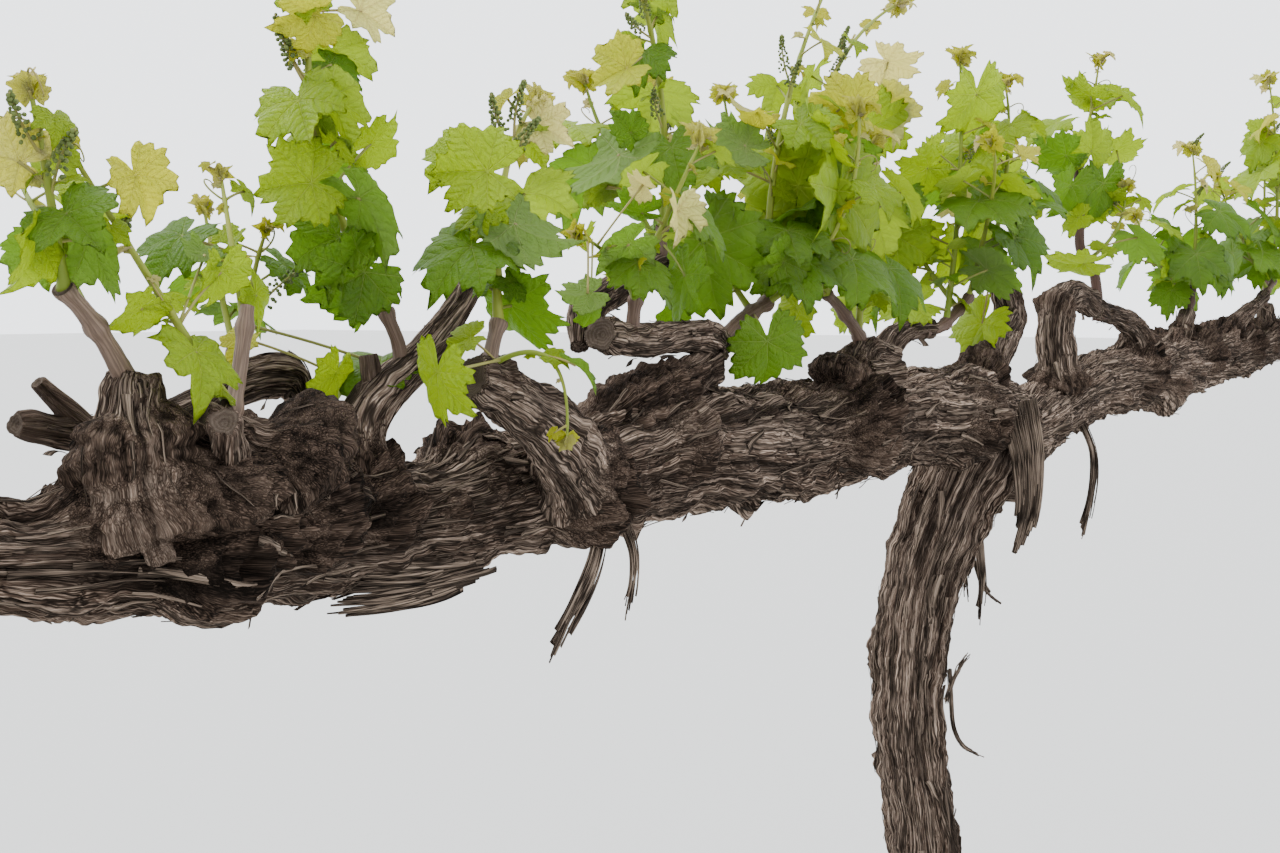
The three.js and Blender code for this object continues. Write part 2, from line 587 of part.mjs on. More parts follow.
for (const [name, spec] of Object.entries(STRIPS)) {
  const solid = largest(strip(spec).subtract(oldWood));
  wood.set(name, { solid, look: STRIP });
  oldWood = fuse(oldWood, solid);
}

// The frameworks come before any leaf, so that no shoot runs through another mass's leaf
const frames = new Map();
for (const [name, mass] of Object.entries(MASSES)) {
  const { made, curves } = framework(mass);
  const solid = largest(made.subtract(oldWood));
  frames.set(name, { solid, curves, item: entry(solid) });
  oldWood = fuse(oldWood, solid);
}

const foliage = new Map();
const limbs = [...wood.values()].map(({ solid }) => entry(solid));
const placed = [];
for (const [name, { seed, shoots }] of Object.entries(MASSES)) {
  const frame = frames.get(name);
  const roll = dice(seed);
  const others = [...limbs, ...[...frames.values()].filter((other) => other !== frame).map(({ item }) => item)];
  let solid = frame.solid;
  const keep = (piece) => {
    placed.push(entry(piece));
    solid = fuse(solid, piece);
  };
  const clear = (piece) => {
    const item = entry(piece);
    return inCrown(item.box) && !near(item, others) && !near(item, placed);
  };
  shoots.forEach((shoot, i) => {
    for (const place of leafPlaces(shoot, frame.curves[i], roll)) {
      const leaf = TURN_TRIES.map((extra) => leafOn(place, extra))
        .find(({ blade, whole }) => clear(whole) && !near(entry(blade), [frame.item]));
      if (leaf) keep(leaf.whole);
      if (!CLUSTER_STEPS.includes(place.step) || shoot.nodes < CLUSTER_SHOOT) continue;
      const up = place.out.clone().multiplyScalar(-0.6).addScaledVector(UP, 0.8).normalize();
      const cluster = budCluster(place.root, up);
      if (clear(cluster)) keep(cluster);
    }
  });
  foliage.set(name, largest(solid));
}

const vine = new THREE.Group();
function place(name, solid, look) {
  const mesh = new THREE.Mesh(geometryOf(solid), new THREE.MeshStandardMaterial(look));
  mesh.name = name;
  vine.add(mesh);
}
for (const [name, { solid, look }] of wood) place(name, solid, look);
for (const [name, solid] of foliage) place(name, solid, LEAF);

export default vine;
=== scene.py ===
# The looks of an old spur-pruned grapevine in spring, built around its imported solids.
# Lengths are in millimetres until a mesh is made. +Z up, +X along the row, +Y to the back.
import itertools
import math
from collections import namedtuple

import bpy
import numpy as np
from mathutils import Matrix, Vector
from mathutils.bvhtree import BVHTree

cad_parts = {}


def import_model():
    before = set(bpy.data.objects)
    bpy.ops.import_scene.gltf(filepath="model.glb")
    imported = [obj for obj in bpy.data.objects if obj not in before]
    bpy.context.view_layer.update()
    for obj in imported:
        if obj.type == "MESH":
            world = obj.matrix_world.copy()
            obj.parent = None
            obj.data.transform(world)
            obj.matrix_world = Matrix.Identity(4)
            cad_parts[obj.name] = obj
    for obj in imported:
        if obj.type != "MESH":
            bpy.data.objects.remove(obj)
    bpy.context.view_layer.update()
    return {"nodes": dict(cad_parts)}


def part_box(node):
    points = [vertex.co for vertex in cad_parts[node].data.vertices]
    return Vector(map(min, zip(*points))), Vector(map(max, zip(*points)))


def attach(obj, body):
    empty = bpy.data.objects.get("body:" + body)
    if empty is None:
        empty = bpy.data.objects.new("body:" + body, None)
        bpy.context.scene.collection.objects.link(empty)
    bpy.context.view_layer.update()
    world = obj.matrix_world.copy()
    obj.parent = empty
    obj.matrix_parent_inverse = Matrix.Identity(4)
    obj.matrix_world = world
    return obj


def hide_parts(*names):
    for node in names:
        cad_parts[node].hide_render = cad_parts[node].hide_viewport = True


MM = 0.001

# The photograph, in pixels: its middle, how far down its horizon is, how far across the vanishing point of
# the row is, and its focal length
MIDDLE_ACROSS = 640
MIDDLE_DOWN = 426.5
HORIZON_DOWN = 306
VANISHING_ACROSS = 1828
FOCAL = 1778

# The camera, fitted to the photograph
EYE = (-1921.0, -805.0, 1130.0)
LOOK_YAW = math.atan((VANISHING_ACROSS - MIDDLE_ACROSS) / FOCAL)
LOOK_DOWN = math.atan((MIDDLE_DOWN - HORIZON_DOWN) / FOCAL)
LENS = 50.0
SENSOR_WIDTH = 36.0

# Bark, with its grain as the materials read it
STRIP_WIDTH = 15.0
LUMP_HEIGHT = 6.5
BURL_BLEND = 5.0
CREASE_DEPTH = 16.0
GRAIN_WIDTH = 2.6
GRAIN_STRETCH = 30
GRAIN_DEPTH = 2.2
LOOSE_GRAIN_DEPTH = 0.7

# The bark's layers: the width of a strip, how far it lifts, how long it runs, and its share of the bark's
# tone and of the painted shade in its grooves
BARK_LAYERS = ((27.0, 4.8, 210, 0.3), (10.5, 4.2, 140, 0.4), (5.4, 2.2, 80, 0.3))

# Knobs and swellings: a knob's radius as a share of its limb's, how much a spur widens where it meets an
# arm and how far that reaches, where the swelling round a cut is, and how far a thin root reaches
KNOB_SHARE = 0.34
COLLAR = 0.45
COLLAR_FADE = 14
CUT_PLACE = 0.97
ROOT_FADE = 16

# How much spurs and stubs swell at their cut, how much thinner a spur's root is, and how much wider a
# stub is at its foot
SPUR_SHAPE = {"callus": 0.22, "root": 0.35}
STUB_SHAPE = {"callus": 0.2, "knobs": 0}
STUB_FOOT = 1.4

# A healed wound, as shares of its radius: how high its lip stands and how wide that is, how deep its
# hollow is and where that levels out
SMALL_WOUND = (0.4, 0.45, 0.6, 0.3)
LARGE_WOUND = (0.3, 0.3, 0.2, 0.4)

# How far from a limb an old wound may be given and still be on it
WOUND_REACH = 16

# Loose fibres: the longest on the trunk or an arm and on a spur, how many a spur has, and how many points
# a fibre has there and in a hanging strip
LIMB_FIBRE = 130
SPUR_FIBRE = 45
SPUR_FIBRES = 16
FIBRE_POINTS = 8
STRIP_POINTS = 14

# A worn cut, from its edge to its middle: share of the radius, and how far it stands out
CUT_PROFILE = ((0.97, 0.12), (0.86, 0.22), (0.62, 0.16), (0.38, 0.06), (0.16, -0.1))

# Colours of old bark and of loose bark: dark, middle, pale and young. The dark one also paints the shade in
# grooves, creases and cracks, and the pale one partly paints a highlight where strips lift
BARK_COLOURS = ((0.004, 0.0028, 0.002, 1), (0.095, 0.063, 0.046, 1),
                (0.47, 0.355, 0.275, 1), (0.15, 0.1, 0.075, 1))
LOOSE_COLOURS = ((0.006, 0.0045, 0.0035, 1), (0.105, 0.077, 0.058, 1),
                 (0.27, 0.205, 0.155, 1), (0.18, 0.11, 0.075, 1))

# Colours of canes: two of the pale skin, its broad streaks, its cracks, and two of the dark skin
CANE_COLOURS = ((0.11, 0.068, 0.048, 1), (0.23, 0.155, 0.11, 1), (0.21, 0.155, 0.12, 1),
                (0.03, 0.017, 0.01, 1), (0.03, 0.014, 0.01, 1), (0.085, 0.045, 0.032, 1))

# Colours of a pruning cut: the two of its rings, and its dark fibres
CUT_COLOURS = ((0.085, 0.062, 0.047, 1), (0.13, 0.1, 0.077, 1), (0.035, 0.026, 0.02, 1))

# The green pieces besides the leaves, by bag: the piece, its material, two colours and the roughness
GREEN_PIECES = {
    "shoots": ("shoots", "shoot", (0.11, 0.17, 0.014, 1), (0.24, 0.25, 0.035, 1), 0.5),
    "stalks": ("leaf_stalks", "leaf stalk", (0.16, 0.2, 0.035, 1), (0.26, 0.19, 0.07, 1), 0.5),
    "buds": ("flower_buds", "flower bud", (0.045, 0.07, 0.016, 1), (0.13, 0.16, 0.04, 1), 0.6),
}

UP = np.array((0.0, 0, 1))

# The turns that the solids try for a leaf, how close one has to come to the solid, and where it is tested
CAD_TURNS = (0, 28, -28, 56, -56, 84)
LEAF_MATCH = 2.5
LOBE_TIPS = ((0, 1.0), (55, 0.93), (-55, 0.93))

# Leaves: a stalk's length as a share of the blade's, how thick a blade is, how much light it lets
# through, how high its veins' bump is, how deep its teeth and its puckers are as shares of its length, how
# much larger the leaves are than in the solids, and how much smaller those that the solids left out or
# the photograph hides
PETIOLE_SHARE = 0.85
LEAF_BODY = 0.5
LEAF_GLOW = 0.58
LEAF_RELIEF = 0.9
TOOTH_DEPTH = 0.105
PUCKER = 0.1
LEAF_SCALE = 1.15
LEFT_OUT_SCALE = 0.7
SPARE_SCALE = 0.8

# How thick canes and shoots are as a share of the solids', and the turn from one leaf or bud to the next
CANE_SHARE = 0.76
NEXT_TURN = 2.4

# Where its mass says nothing else: how dark a cane is, and how many leaves a shoot has besides the solids'
RIPENESS = 0.55
FILL = 2

# The highest place on a shoot where a leaf grows
LAST_NODE = 0.985

# The points on a leaf's rim, and the length above which a leaf has the first number and the second
RIM_COUNTS = (72, 54, 36)
RIM_REACHES = (34, 16)

# A leaf's rings, from its stalk out, as shares of its outline
LEAF_RINGS = (0.2, 0.45, 0.7, 0.9, 1.0)

# Leaves placed from the photograph: how far into the leaf its stalk ends and how long the blade is from
# there, as shares of the leaf's length in the photograph, and how far the upper side and the underside
# stand in front of the nearest stem
STALK_END = 0.2
BLADE_SHARE = 0.76
UPPER_GAP = 22
UNDER_GAP = 14

# How far from a stem a leaf may hang, and how much farther than its line of sight comes to the stem
HANGING_REACH = 62
HANGING_SLACK = 8

# A flower cluster: its number of buds, its length, and the share of its stalk that has no buds
BUD_COUNT = 46
CLUSTER_LENGTH = 42
BARE_STALK = 0.32

# Half of a leaf's outline: its lobes and the hollows after them, in degrees and share of its length
LEAF_LOBES = ((0, 1.0), (50, 0.94), (100, 0.8), (140, 0.7))
LEAF_HOLLOWS = ((26, 0.75), (76, 0.72), (120, 0.67), (171, 0.12))

# Leaf ages, from the shoot's foot to its tip, and where each ends along it
AGES = ("mature", "bright", "young", "tip")
AGE_LIMITS = (0.45, 0.9, 1.18)

# For each age: its upper side and its underside, each as two face colours, its veins, and the light
# that comes through
LEAF_COLOURS = {
    "mature": (
        ((0.045, 0.095, 0.008, 1), (0.1, 0.165, 0.014, 1), (0.24, 0.3, 0.07, 1), (0.36, 0.56, 0.004, 1)),
        ((0.14, 0.21, 0.055, 1), (0.18, 0.25, 0.07, 1), (0.3, 0.34, 0.12, 1), (0.44, 0.62, 0.02, 1)),
    ),
    "bright": (
        ((0.13, 0.22, 0.006, 1), (0.24, 0.32, 0.009, 1), (0.36, 0.42, 0.07, 1), (0.66, 0.78, 0.004, 1)),
        ((0.2, 0.29, 0.045, 1), (0.27, 0.35, 0.06, 1), (0.38, 0.43, 0.14, 1), (0.6, 0.72, 0.03, 1)),
    ),
    "young": (
        ((0.3, 0.37, 0.02, 1), (0.41, 0.4, 0.04, 1), (0.46, 0.43, 0.12, 1), (0.8, 0.82, 0.05, 1)),
        ((0.38, 0.38, 0.14, 1), (0.45, 0.41, 0.2, 1), (0.5, 0.43, 0.27, 1), (0.86, 0.8, 0.3, 1)),
    ),
    "tip": (
        ((0.46, 0.5, 0.15, 1), (0.6, 0.54, 0.25, 1), (0.56, 0.42, 0.22, 1), (0.93, 0.9, 0.36, 1)),
        ((0.58, 0.56, 0.34, 1), (0.68, 0.56, 0.44, 1), (0.62, 0.47, 0.38, 1), (0.95, 0.86, 0.58, 1)),
    ),
}

# Floor and light
FLOOR_COLOUR = (0.45, 0.45, 0.44, 1)
FLOOR_HALF = 60
SKY_COLOUR = (0.93, 0.96, 1.0, 1)
SKY_LIGHT = 3.0
SUN_LIGHT = 3.8
SUN_SPREAD = 50
SUN_FROM = (-0.1, 0.55, 0.85)

# Where each stretch of chance starts. A limb's is a multiple, and a prong's is added to its spur's
WOOD_SEED = 7
GROWTH_SEED = 21
LIMB_SEED = 31
SPUR_SEED = 400
PRONG_SEED = 50
STUB_SEED = 900

# Old wounds on the bark: the middle of each and its radius
OLD_WOUNDS = (
    (-1231, -80, 989, 17),
    (-1194, -78, 1047, 8),
    (-1193, -82, 1018, 6),
    (-1260, -70, 1022, 8),
    (-437, -56, 1038, 14),
    (-426, -67, 1029, 8),
    (-928, -90, 1038, 14),
)

# Short pruned stubs, by side: from where, to where, and their radius
STUBS = {
    "left": (
        ((-1224, -64, 1046), (-1249, -86, 1067), 8),
        ((-384, -40, 1064), (-346, -56, 1066), 10),
    ),
    "right": (
        ((-30, -28, 918), (10, -50, 914), 8),
    ),
}

# Thin strips that peel off the trunk: their width and path
TRUNK_PEELS = (
    {"width": 7, "path": [(-70, -8, 922), (-44, -4, 880), (-18, 2, 838), (20, 5, 798), (64, 5, 774)]},
    {"width": 6, "path": [(-58, -2, 900), (-42, 4, 862), (-36, 6, 826), (-38, 6, 790)]},
    {"width": 6, "path": [(-104, -2, 690), (-80, 0, 710), (-54, 2, 722), (-26, 4, 734)]},
    {"width": 4, "path": [(-92, 0, 724), (-82, 2, 690), (-70, 4, 655), (-44, 5, 628), (-12, 5, 612),
                          (22, 5, 598)]},
)

# A green shoot: where on its cane it starts, its tip, its bow, its number of leaves, their length, the
# side of the first one in degrees, and its radius
Shoot = namedtuple("Shoot", "at tip bow nodes leaf side thick")

# A leaf placed from the photograph: the pixel where it starts, its depth, which way its midrib goes there and
# how far its face turns away from the camera, in degrees, its length in pixels, and its age
Shown = namedtuple("Shown", "across down depth way turn reach age")

# A leaf: its stalk's root and way out, the blade's start, its midrib and face, the turn that it starts
# with, its length, and how far up the shoot it is
Leaf = namedtuple("Leaf", "root out end midrib face start reach share")

# A limb's surface before its bark: its points, the limb's middle line, each point's turn round it and run
# along it, the reach of its grain, how old and how swollen the wood is there, and its knots
Skin = namedtuple("Skin", "surface middle turn run reach age swollen knots")

# The old limbs, from the part's source: each one's middle line and radii, its flutes, how deep they are
# and how they twist, and the burls, which are balls set in the wood. A prong is a stub on a spur. The
# looks add the mesh's rings and sides, small knobs set by chance, loose fibres, and where it isn't 1 how
# far the bark's strips stand out (lift) and how much they bend (wander)
TRUNK = {
    "path": [(0, 0, -25), (-20, 10, 170), (-50, 27, 350), (-74, 38, 528), (-94, 48, 665),
             (-88, 43, 790), (-60, 25, 885), (-14, 2, 962), (46, -6, 1004)],
    "radii": [68, 47, 42, 39, 40, 43, 49, 55, 46],
    "flutes": 5, "flute": 0.07, "twist": 1.4, "rings": 330, "sides": 150, "knobs": 6,
    "fibres": 240, "lift": 0.72, "wander": 0.55,
}
LEFT_ARM = {
    "path": [(58, -2, 996), (-90, -8, 1006), (-240, -2, 1014), (-420, 4, 1003), (-620, -4, 1006),
             (-820, 2, 1000), (-1020, 6, 980), (-1240, -6, 988), (-1480, 4, 1012)],
    "radii": [44, 54, 50, 51, 52, 45, 41, 37, 22],
    "flutes": 4, "flute": 0.05, "twist": 5, "rings": 520, "sides": 180, "knobs": 26, "fibres": 420,
    "burls": [(-120, -20, 1006, 54), (-395, -26, 1020, 52), (-480, 4, 1018, 44), (-700, -16, 1014, 44),
              (-850, -40, 990, 42), (-930, 6, 1002, 44), (-1060, -6, 996, 43), (-1135, -28, 1004, 43),
              (-1218, -36, 984, 40), (-1180, -30, 1004, 38), (-1278, -16, 1006, 38), (-1400, 2, 1008, 34)],
}
RIGHT_ARM = {
    "path": [(20, -2, 968), (120, -4, 986), (250, 2, 1008), (400, 4, 1026), (620, -4, 1036),
             (860, 4, 1044), (1100, -2, 1054), (1430, 2, 1074)],
    "radii": [46, 44, 41, 43, 43, 40, 36, 22],
    "flutes": 4, "flute": 0.05, "twist": -4, "rings": 420, "sides": 130, "knobs": 18, "fibres": 260,
    "burls": [(505, -8, 1038, 47), (596, -14, 1016, 42), (700, 8, 1052, 45), (790, -10, 1058, 43),
              (930, 8, 1064, 43), (1040, -8, 1064, 41), (1180, 4, 1070, 40), (1330, 0, 1076, 34)],
}
LIMBS = {"trunk": TRUNK, "left_arm": LEFT_ARM, "right_arm": RIGHT_ARM}
SPURS = {
    "head_spur": {
        "path": [(-62, -4, 1022), (16, 0, 1078), (72, 4, 1116), (66, 6, 1150), (40, 4, 1180)],
        "radii": [26, 23, 21, 18, 13],
    },
    "left_spur_1": {
        "path": [(-240, 24, 1030), (-216, 24, 1082), (-180, 20, 1102), (-128, 12, 1106)],
        "radii": [20, 15, 12, 10],
    },
    "left_spur_2": {
        "path": [(-388, -18, 1030), (-378, -24, 1066), (-360, -28, 1084), (-318, -34, 1078)],
        "radii": [30, 22, 15, 11],
        "burls": [(-404, -22, 1062, 20)],
    },
    "left_spur_3_lower": {
        "path": [(-820, -2, 1010), (-752, -6, 1046), (-672, -6, 1064), (-606, 0, 1080)],
        "radii": [24, 19, 17, 14],
    },
    "left_spur_3_upper": {
        "path": [(-584, 2, 1088), (-620, -4, 1103), (-690, -10, 1104), (-752, -18, 1103), (-802, -22, 1108)],
        "radii": [13, 15, 14, 15, 13],
    },
    "left_spur_3_back": {
        "path": [(-800, 2, 1098), (-776, 12, 1126), (-716, 20, 1146), (-648, 26, 1164)],
        "radii": [12, 13, 13, 9],
    },
    "left_spur_4": {
        "path": [(-838, -24, 1000), (-902, -62, 1020), (-956, -82, 1050), (-1004, -88, 1072),
                 (-1042, -90, 1084)],
        "radii": [31, 27, 23, 19, 13],
        "burls": [(-1012, -86, 1080, 19)],
    },
    "left_spur_5": {
        "path": [(-1076, -8, 1006), (-1066, -14, 1050), (-1046, -20, 1074), (-1022, -25, 1092),
                 (-996, -28, 1116), (-974, -30, 1140), (-954, -32, 1167)],
        "radii": [23, 17, 15, 12, 10, 9, 8.5],
        "prong": {"path": [(-1050, -18, 1068), (-1054, -15, 1082), (-1055, -13, 1097)], "radii": [9, 7, 6]},
    },
    "left_spur_6_riser": {
        "path": [(-1062, 20, 1000), (-1054, 34, 1036), (-1056, 42, 1064)],
        "radii": [22, 17, 15],
    },
    "left_spur_6_arch": {
        "path": [(-1058, 44, 1069), (-1072, 48, 1084), (-1106, 52, 1081), (-1150, 50, 1064),
                 (-1200, 46, 1055), (-1244, 42, 1056), (-1288, 38, 1064)],
        "radii": [15, 15, 15, 14, 13, 11, 7],
        "prong": {"path": [(-1236, 42, 1056), (-1254, 42, 1072), (-1270, 42, 1086)], "radii": [8, 7, 5]},
    },
    "left_spur_7": {
        "path": [(-1160, -34, 1000), (-1180, -46, 1034), (-1212, -52, 1056), (-1240, -56, 1068)],
        "radii": [30, 22, 13, 9],
        "burls": [(-1180, -56, 1036, 25), (-1160, -52, 1046, 21)],
        "knobs": 16,
    },
    "left_spur_8": {
        "path": [(-1246, -20, 1000), (-1264, -30, 1036), (-1268, -31, 1066), (-1264, -31, 1090)],
        "radii": [36, 30, 20, 13],
        "burls": [(-1238, -48, 1028, 27), (-1258, -44, 1056, 23), (-1284, -36, 1050, 22)],
        "knobs": 16,
    },
    "left_spur_9": {
        "path": [(-1430, 0, 1000), (-1436, 4, 1036), (-1428, 8, 1064)],
        "radii": [20, 16, 12],
    },
    "right_spur_1": {
        "path": [(204, -6, 1004), (188, -14, 1060), (174, -16, 1104), (186, -16, 1134), (236, -20, 1144),
                 (292, -20, 1130)],
        "radii": [29, 24, 22, 21, 17, 13],
        "burls": [(176, -16, 1128, 24)],
    },
    "right_spur_2": {
        "path": [(512, -8, 1046), (500, -12, 1082), (462, -14, 1104), (400, -15, 1116), (330, -13, 1126)],
        "radii": [24, 19, 16, 13, 11],
    },
    "right_spur_3": {
        "path": [(742, 4, 1062), (756, 4, 1094), (776, 2, 1118)],
        "radii": [21, 16, 12],
    },
    "right_spur_4": {
        "path": [(950, -4, 1070), (976, -12, 1098), (1014, -18, 1116), (1064, -20, 1130), (1120, -22, 1148)],
        "radii": [22, 16, 13, 11, 9],
    },
    "right_spur_5": {
        "path": [(1236, 4, 1074), (1242, 6, 1104), (1234, 6, 1130)],
        "radii": [19, 15, 11],
    },
}

# The strips of loose bark: each one's width and path, how far it turns about it, in degrees, and how
# uneven its start is
STRIPS = {
    "bark_strip_arm_1": {
        "width": 30,
        "turn": 40,
        "path": [(-52, -60, 1022), (-36, -66, 965), (-34, -66, 905), (-66, -64, 852)],
    },
    "bark_strip_arm_2": {
        "width": 18,
        "turn": 5,
        "path": [(242, -24, 992), (230, -48, 946), (208, -53, 890), (176, -48, 832)],
    },
    "bark_strip_arm_3": {
        "width": 14,
        "path": [(-840, -48, 962), (-874, -64, 938), (-908, -68, 908), (-938, -68, 880)],
    },
    "bark_strip_arm_4": {
        "width": 8,
        "path": [(-800, -42, 964), (-799, -50, 940), (-806, -52, 914), (-818, -50, 888)],
    },
    "bark_slab": {
        "width": 26,
        "ragged": 0.18,
        "path": [(-1100, -14, 950), (-1044, -22, 945), (-990, -24, 944), (-936, -26, 950)],
    },
    "bark_strip_trunk": {
        "width": 16,
        "path": [(-32, -4, 884), (-12, -2, 838), (-8, -2, 800), (-18, 0, 762)],
    },
}

# Each mass: its seed, how dark its cane is (ripe), how many more leaves a shoot gets (fill), its cane's
# path and radii, and its green shoots
MASSES = {
    "foliage_left_end": {
        "seed": 3,
        "ripe": 0.3,
        "path": [(-1430, 8, 1058), (-1438, 4, 1086), (-1452, -2, 1116)],
        "radii": [7, 6.5, 6],
        "shoots": [
            Shoot(0.95, (-1440, -20, 1335), (-26, 0, 10), 5, 48, 250, 4.2),
            Shoot(0.6, (-1500, 40, 1240), (10, 10, 20), 3, 42, 100, 3.8),
        ],
    },
    "foliage_left_8": {
        "seed": 11,
        "fill": 0,
        "ripe": 0.05,
        "path": [(-1264, -30, 1084), (-1284, -35, 1108), (-1304, -40, 1128), (-1320, -44, 1140)],
        "radii": [9, 7, 6.5, 6],
        "shoots": [
            Shoot(0.97, (-1352, -62, 1242), (-6, -8, 4), 4, 38, 250, 4),
            Shoot(0.5, (-1275, 52, 1205), (0, 12, 16), 3, 36, 80, 3.4),
        ],
    },
    "foliage_left_7": {
        "seed": 5,
        "fill": 0,
        "ripe": 0.1,
        "path": [(-1208, -45, 1044), (-1204, -44, 1066), (-1194, -40, 1092), (-1182, -35, 1130)],
        "radii": [8, 6.5, 6, 5.5],
        "shoots": [
            Shoot(0.4, (-1326, -52, 1218), (8, -2, -14), 4, 36, 240, 4.4),
            Shoot(0.9, (-1150, 20, 1212), (4, 8, 18), 3, 34, 160, 3),
        ],
    },
    "foliage_left_6": {
        "seed": 19,
        "fill": 1,
        "path": [(-1120, 50, 1084), (-1116, 46, 1100), (-1112, 40, 1118)],
        "radii": [6, 5, 4.5],
        "shoots": [
            Shoot(0.95, (-1120, 10, 1180), (6, 6, 8), 3, 30, 300, 3),
            Shoot(0.5, (-1095, 96, 1200), (4, 8, 10), 3, 32, 60, 3.2),
        ],
    },
    "foliage_left_5": {
        "seed": 8,
        "fill": 1,
        "ripe": 0.4,
        "path": [(-1034, -24, 1090), (-1038, -23, 1108), (-1048, -22, 1128)],
        "radii": [7, 6, 5.5],
        "shoots": [
            Shoot(0.95, (-1068, -18, 1392), (-60, -4, 6), 8, 44, 215, 4.6),
        ],
    },
    "foliage_left_4": {
        "seed": 14,
        "fill": 0,
        "ripe": 0.3,
        "path": [(-1030, -90, 1082), (-1024, -90, 1098), (-1012, -88, 1120)],
        "radii": [8, 6.5, 6],
        "shoots": [
            Shoot(0.95, (-956, -78, 1270), (-16, 0, 16), 6, 46, 190, 4.4),
            Shoot(0.3, (-1010, -140, 1040), (-6, -24, 30), 2, 30, 290, 2.6),
        ],
    },
    "foliage_left_3_front": {
        "seed": 21,
        "fill": 0,
        "path": [(-760, -22, 1110), (-758, -24, 1134), (-754, -26, 1154)],
        "radii": [7.5, 6.5, 6],
        "shoots": [
            Shoot(0.5, (-880, -52, 1182), (0, -4, 8), 3, 40, 250, 3.4),
            Shoot(0.95, (-738, -74, 1262), (-8, -10, 10), 4, 50, 300, 3.6),
        ],
    },
    "foliage_left_3_back": {
        "seed": 27,
        "fill": 1,
        "path": [(-652, 26, 1162), (-648, 24, 1180), (-652, 20, 1198)],
        "radii": [6.5, 6, 5.5],
        "shoots": [
            Shoot(0.95, (-770, -2, 1440), (34, 2, 20), 7, 52, 200, 4.4),
            Shoot(0.4, (-640, 110, 1330), (8, 20, 16), 3, 54, 90, 4),
        ],
    },
    "foliage_left_3_end": {
        "seed": 33,
        "fill": 1,
        "path": [(-586, 2, 1098), (-556, 0, 1116), (-530, 0, 1126), (-506, 0, 1134)],
        "radii": [10, 9, 8.5, 7],
        "shoots": [
            Shoot(0.97, (-398, -10, 1448), (-44, -4, 4), 7, 62, 205, 5),
            Shoot(0.9, (-458, -66, 1310), (4, -26, -16), 5, 62, 265, 4.6),
            Shoot(0.6, (-566, 80, 1330), (0, 26, 10), 4, 54, 110, 4),
        ],
    },
    "foliage_left_2": {
        "seed": 41,
        "fill": 1,
        "path": [(-362, -26, 1078), (-374, -24, 1104), (-400, -20, 1126), (-428, -18, 1142)],
        "radii": [9, 7.5, 7, 6],
        "shoots": [
            Shoot(0.3, (-360, -34, 1290), (-16, -6, 0), 5, 64, 280, 4.8),
            Shoot(0.97, (-280, -20, 1432), (-70, 8, 30), 7, 62, 240, 4.8),
            Shoot(0.6, (-420, 100, 1340), (0, 30, 10), 4, 54, 70, 4),
        ],
    },
    "foliage_left_1": {
        "seed": 52,
        "fill": 2,
        "path": [(-134, 12, 1104), (-104, 8, 1108), (-74, 4, 1124), (-48, 0, 1142)],
        "radii": [9.5, 8, 7.5, 6.5],
        "shoots": [
            Shoot(0.4, (-98, -6, 1404), (18, 0, 0), 7, 60, 290, 4.8),
            Shoot(0.95, (-160, -70, 1300), (10, -10, 30), 4, 58, 300, 4),
            Shoot(0.7, (-130, 92, 1340), (0, 26, 10), 4, 52, 80, 4),
        ],
    },
    "foliage_head": {
        "seed": 64,
        "fill": 3,
        "path": [(42, 4, 1174), (36, 3, 1196), (26, 2, 1214)],
        "radii": [8, 7, 6],
        "shoots": [
            Shoot(0.9, (-30, -30, 1380), (10, -6, 14), 5, 56, 300, 4),
            Shoot(0.5, (70, 60, 1330), (10, 16, 20), 4, 48, 40, 3.8),
        ],
    },
    "foliage_right_1": {
        "seed": 71,
        "fill": 1,
        "ripe": 1.0,
        "path": [(338, -13, 1124), (334, -8, 1172), (326, 8, 1204), (326, 10, 1238), (322, 12, 1278),
                 (326, 12, 1318)],
        "radii": [9.5, 8.5, 8.5, 8, 7.5, 6],
        "shoots": [
            Shoot(0.64, (190, 112, 1358), (-6, 10, -14), 4, 50, 40, 5.2),
            Shoot(0.97, (345, -6, 1450), (10, 0, 6), 4, 56, 130, 3.8),
            Shoot(0.3, (372, -34, 1290), (16, -10, -6), 4, 52, 300, 3.8),
        ],
    },
    "foliage_right_3": {
        "seed": 83,
        "fill": 3,
        "ripe": 0.8,
        "path": [(776, 2, 1110), (784, 0, 1136), (790, 0, 1160)],
        "radii": [8, 7, 6.5],
        "shoots": [
            Shoot(0.95, (806, 10, 1370), (20, 0, 10), 5, 58, 100, 4.6),
            Shoot(0.5, (730, 70, 1270), (0, 16, 10), 3, 50, 120, 4),
        ],
    },
    "foliage_right_4": {
        "seed": 92,
        "fill": 4,
        "path": [(1112, -22, 1146), (1136, -24, 1158), (1158, -26, 1172)],
        "radii": [7.5, 7, 6.5],
        "shoots": [
            Shoot(0.95, (1120, -20, 1505), (40, 0, 10), 7, 64, 130, 5),
            Shoot(0.4, (1010, 30, 1340), (10, 16, 20), 5, 56, 120, 4.2),
        ],
    },
    "foliage_right_5": {
        "seed": 97,
        "path": [(1234, 6, 1122), (1230, 6, 1148), (1238, 6, 1172)],
        "radii": [7.5, 7, 6.5],
        "shoots": [
            Shoot(0.95, (1270, 20, 1430), (10, 6, 10), 5, 60, 60, 4.4),
        ],
    },
    "foliage_right_end": {
        "seed": 99,
        "path": [(1410, 2, 1090), (1418, 2, 1116), (1430, 2, 1144)],
        "radii": [9, 7, 6.5],
        "shoots": [
            Shoot(0.95, (1440, -10, 1390), (14, 6, 10), 5, 54, 330, 4.2),
            Shoot(0.5, (1480, 50, 1270), (4, 6, 16), 3, 48, 60, 3.8),
        ],
    },
}

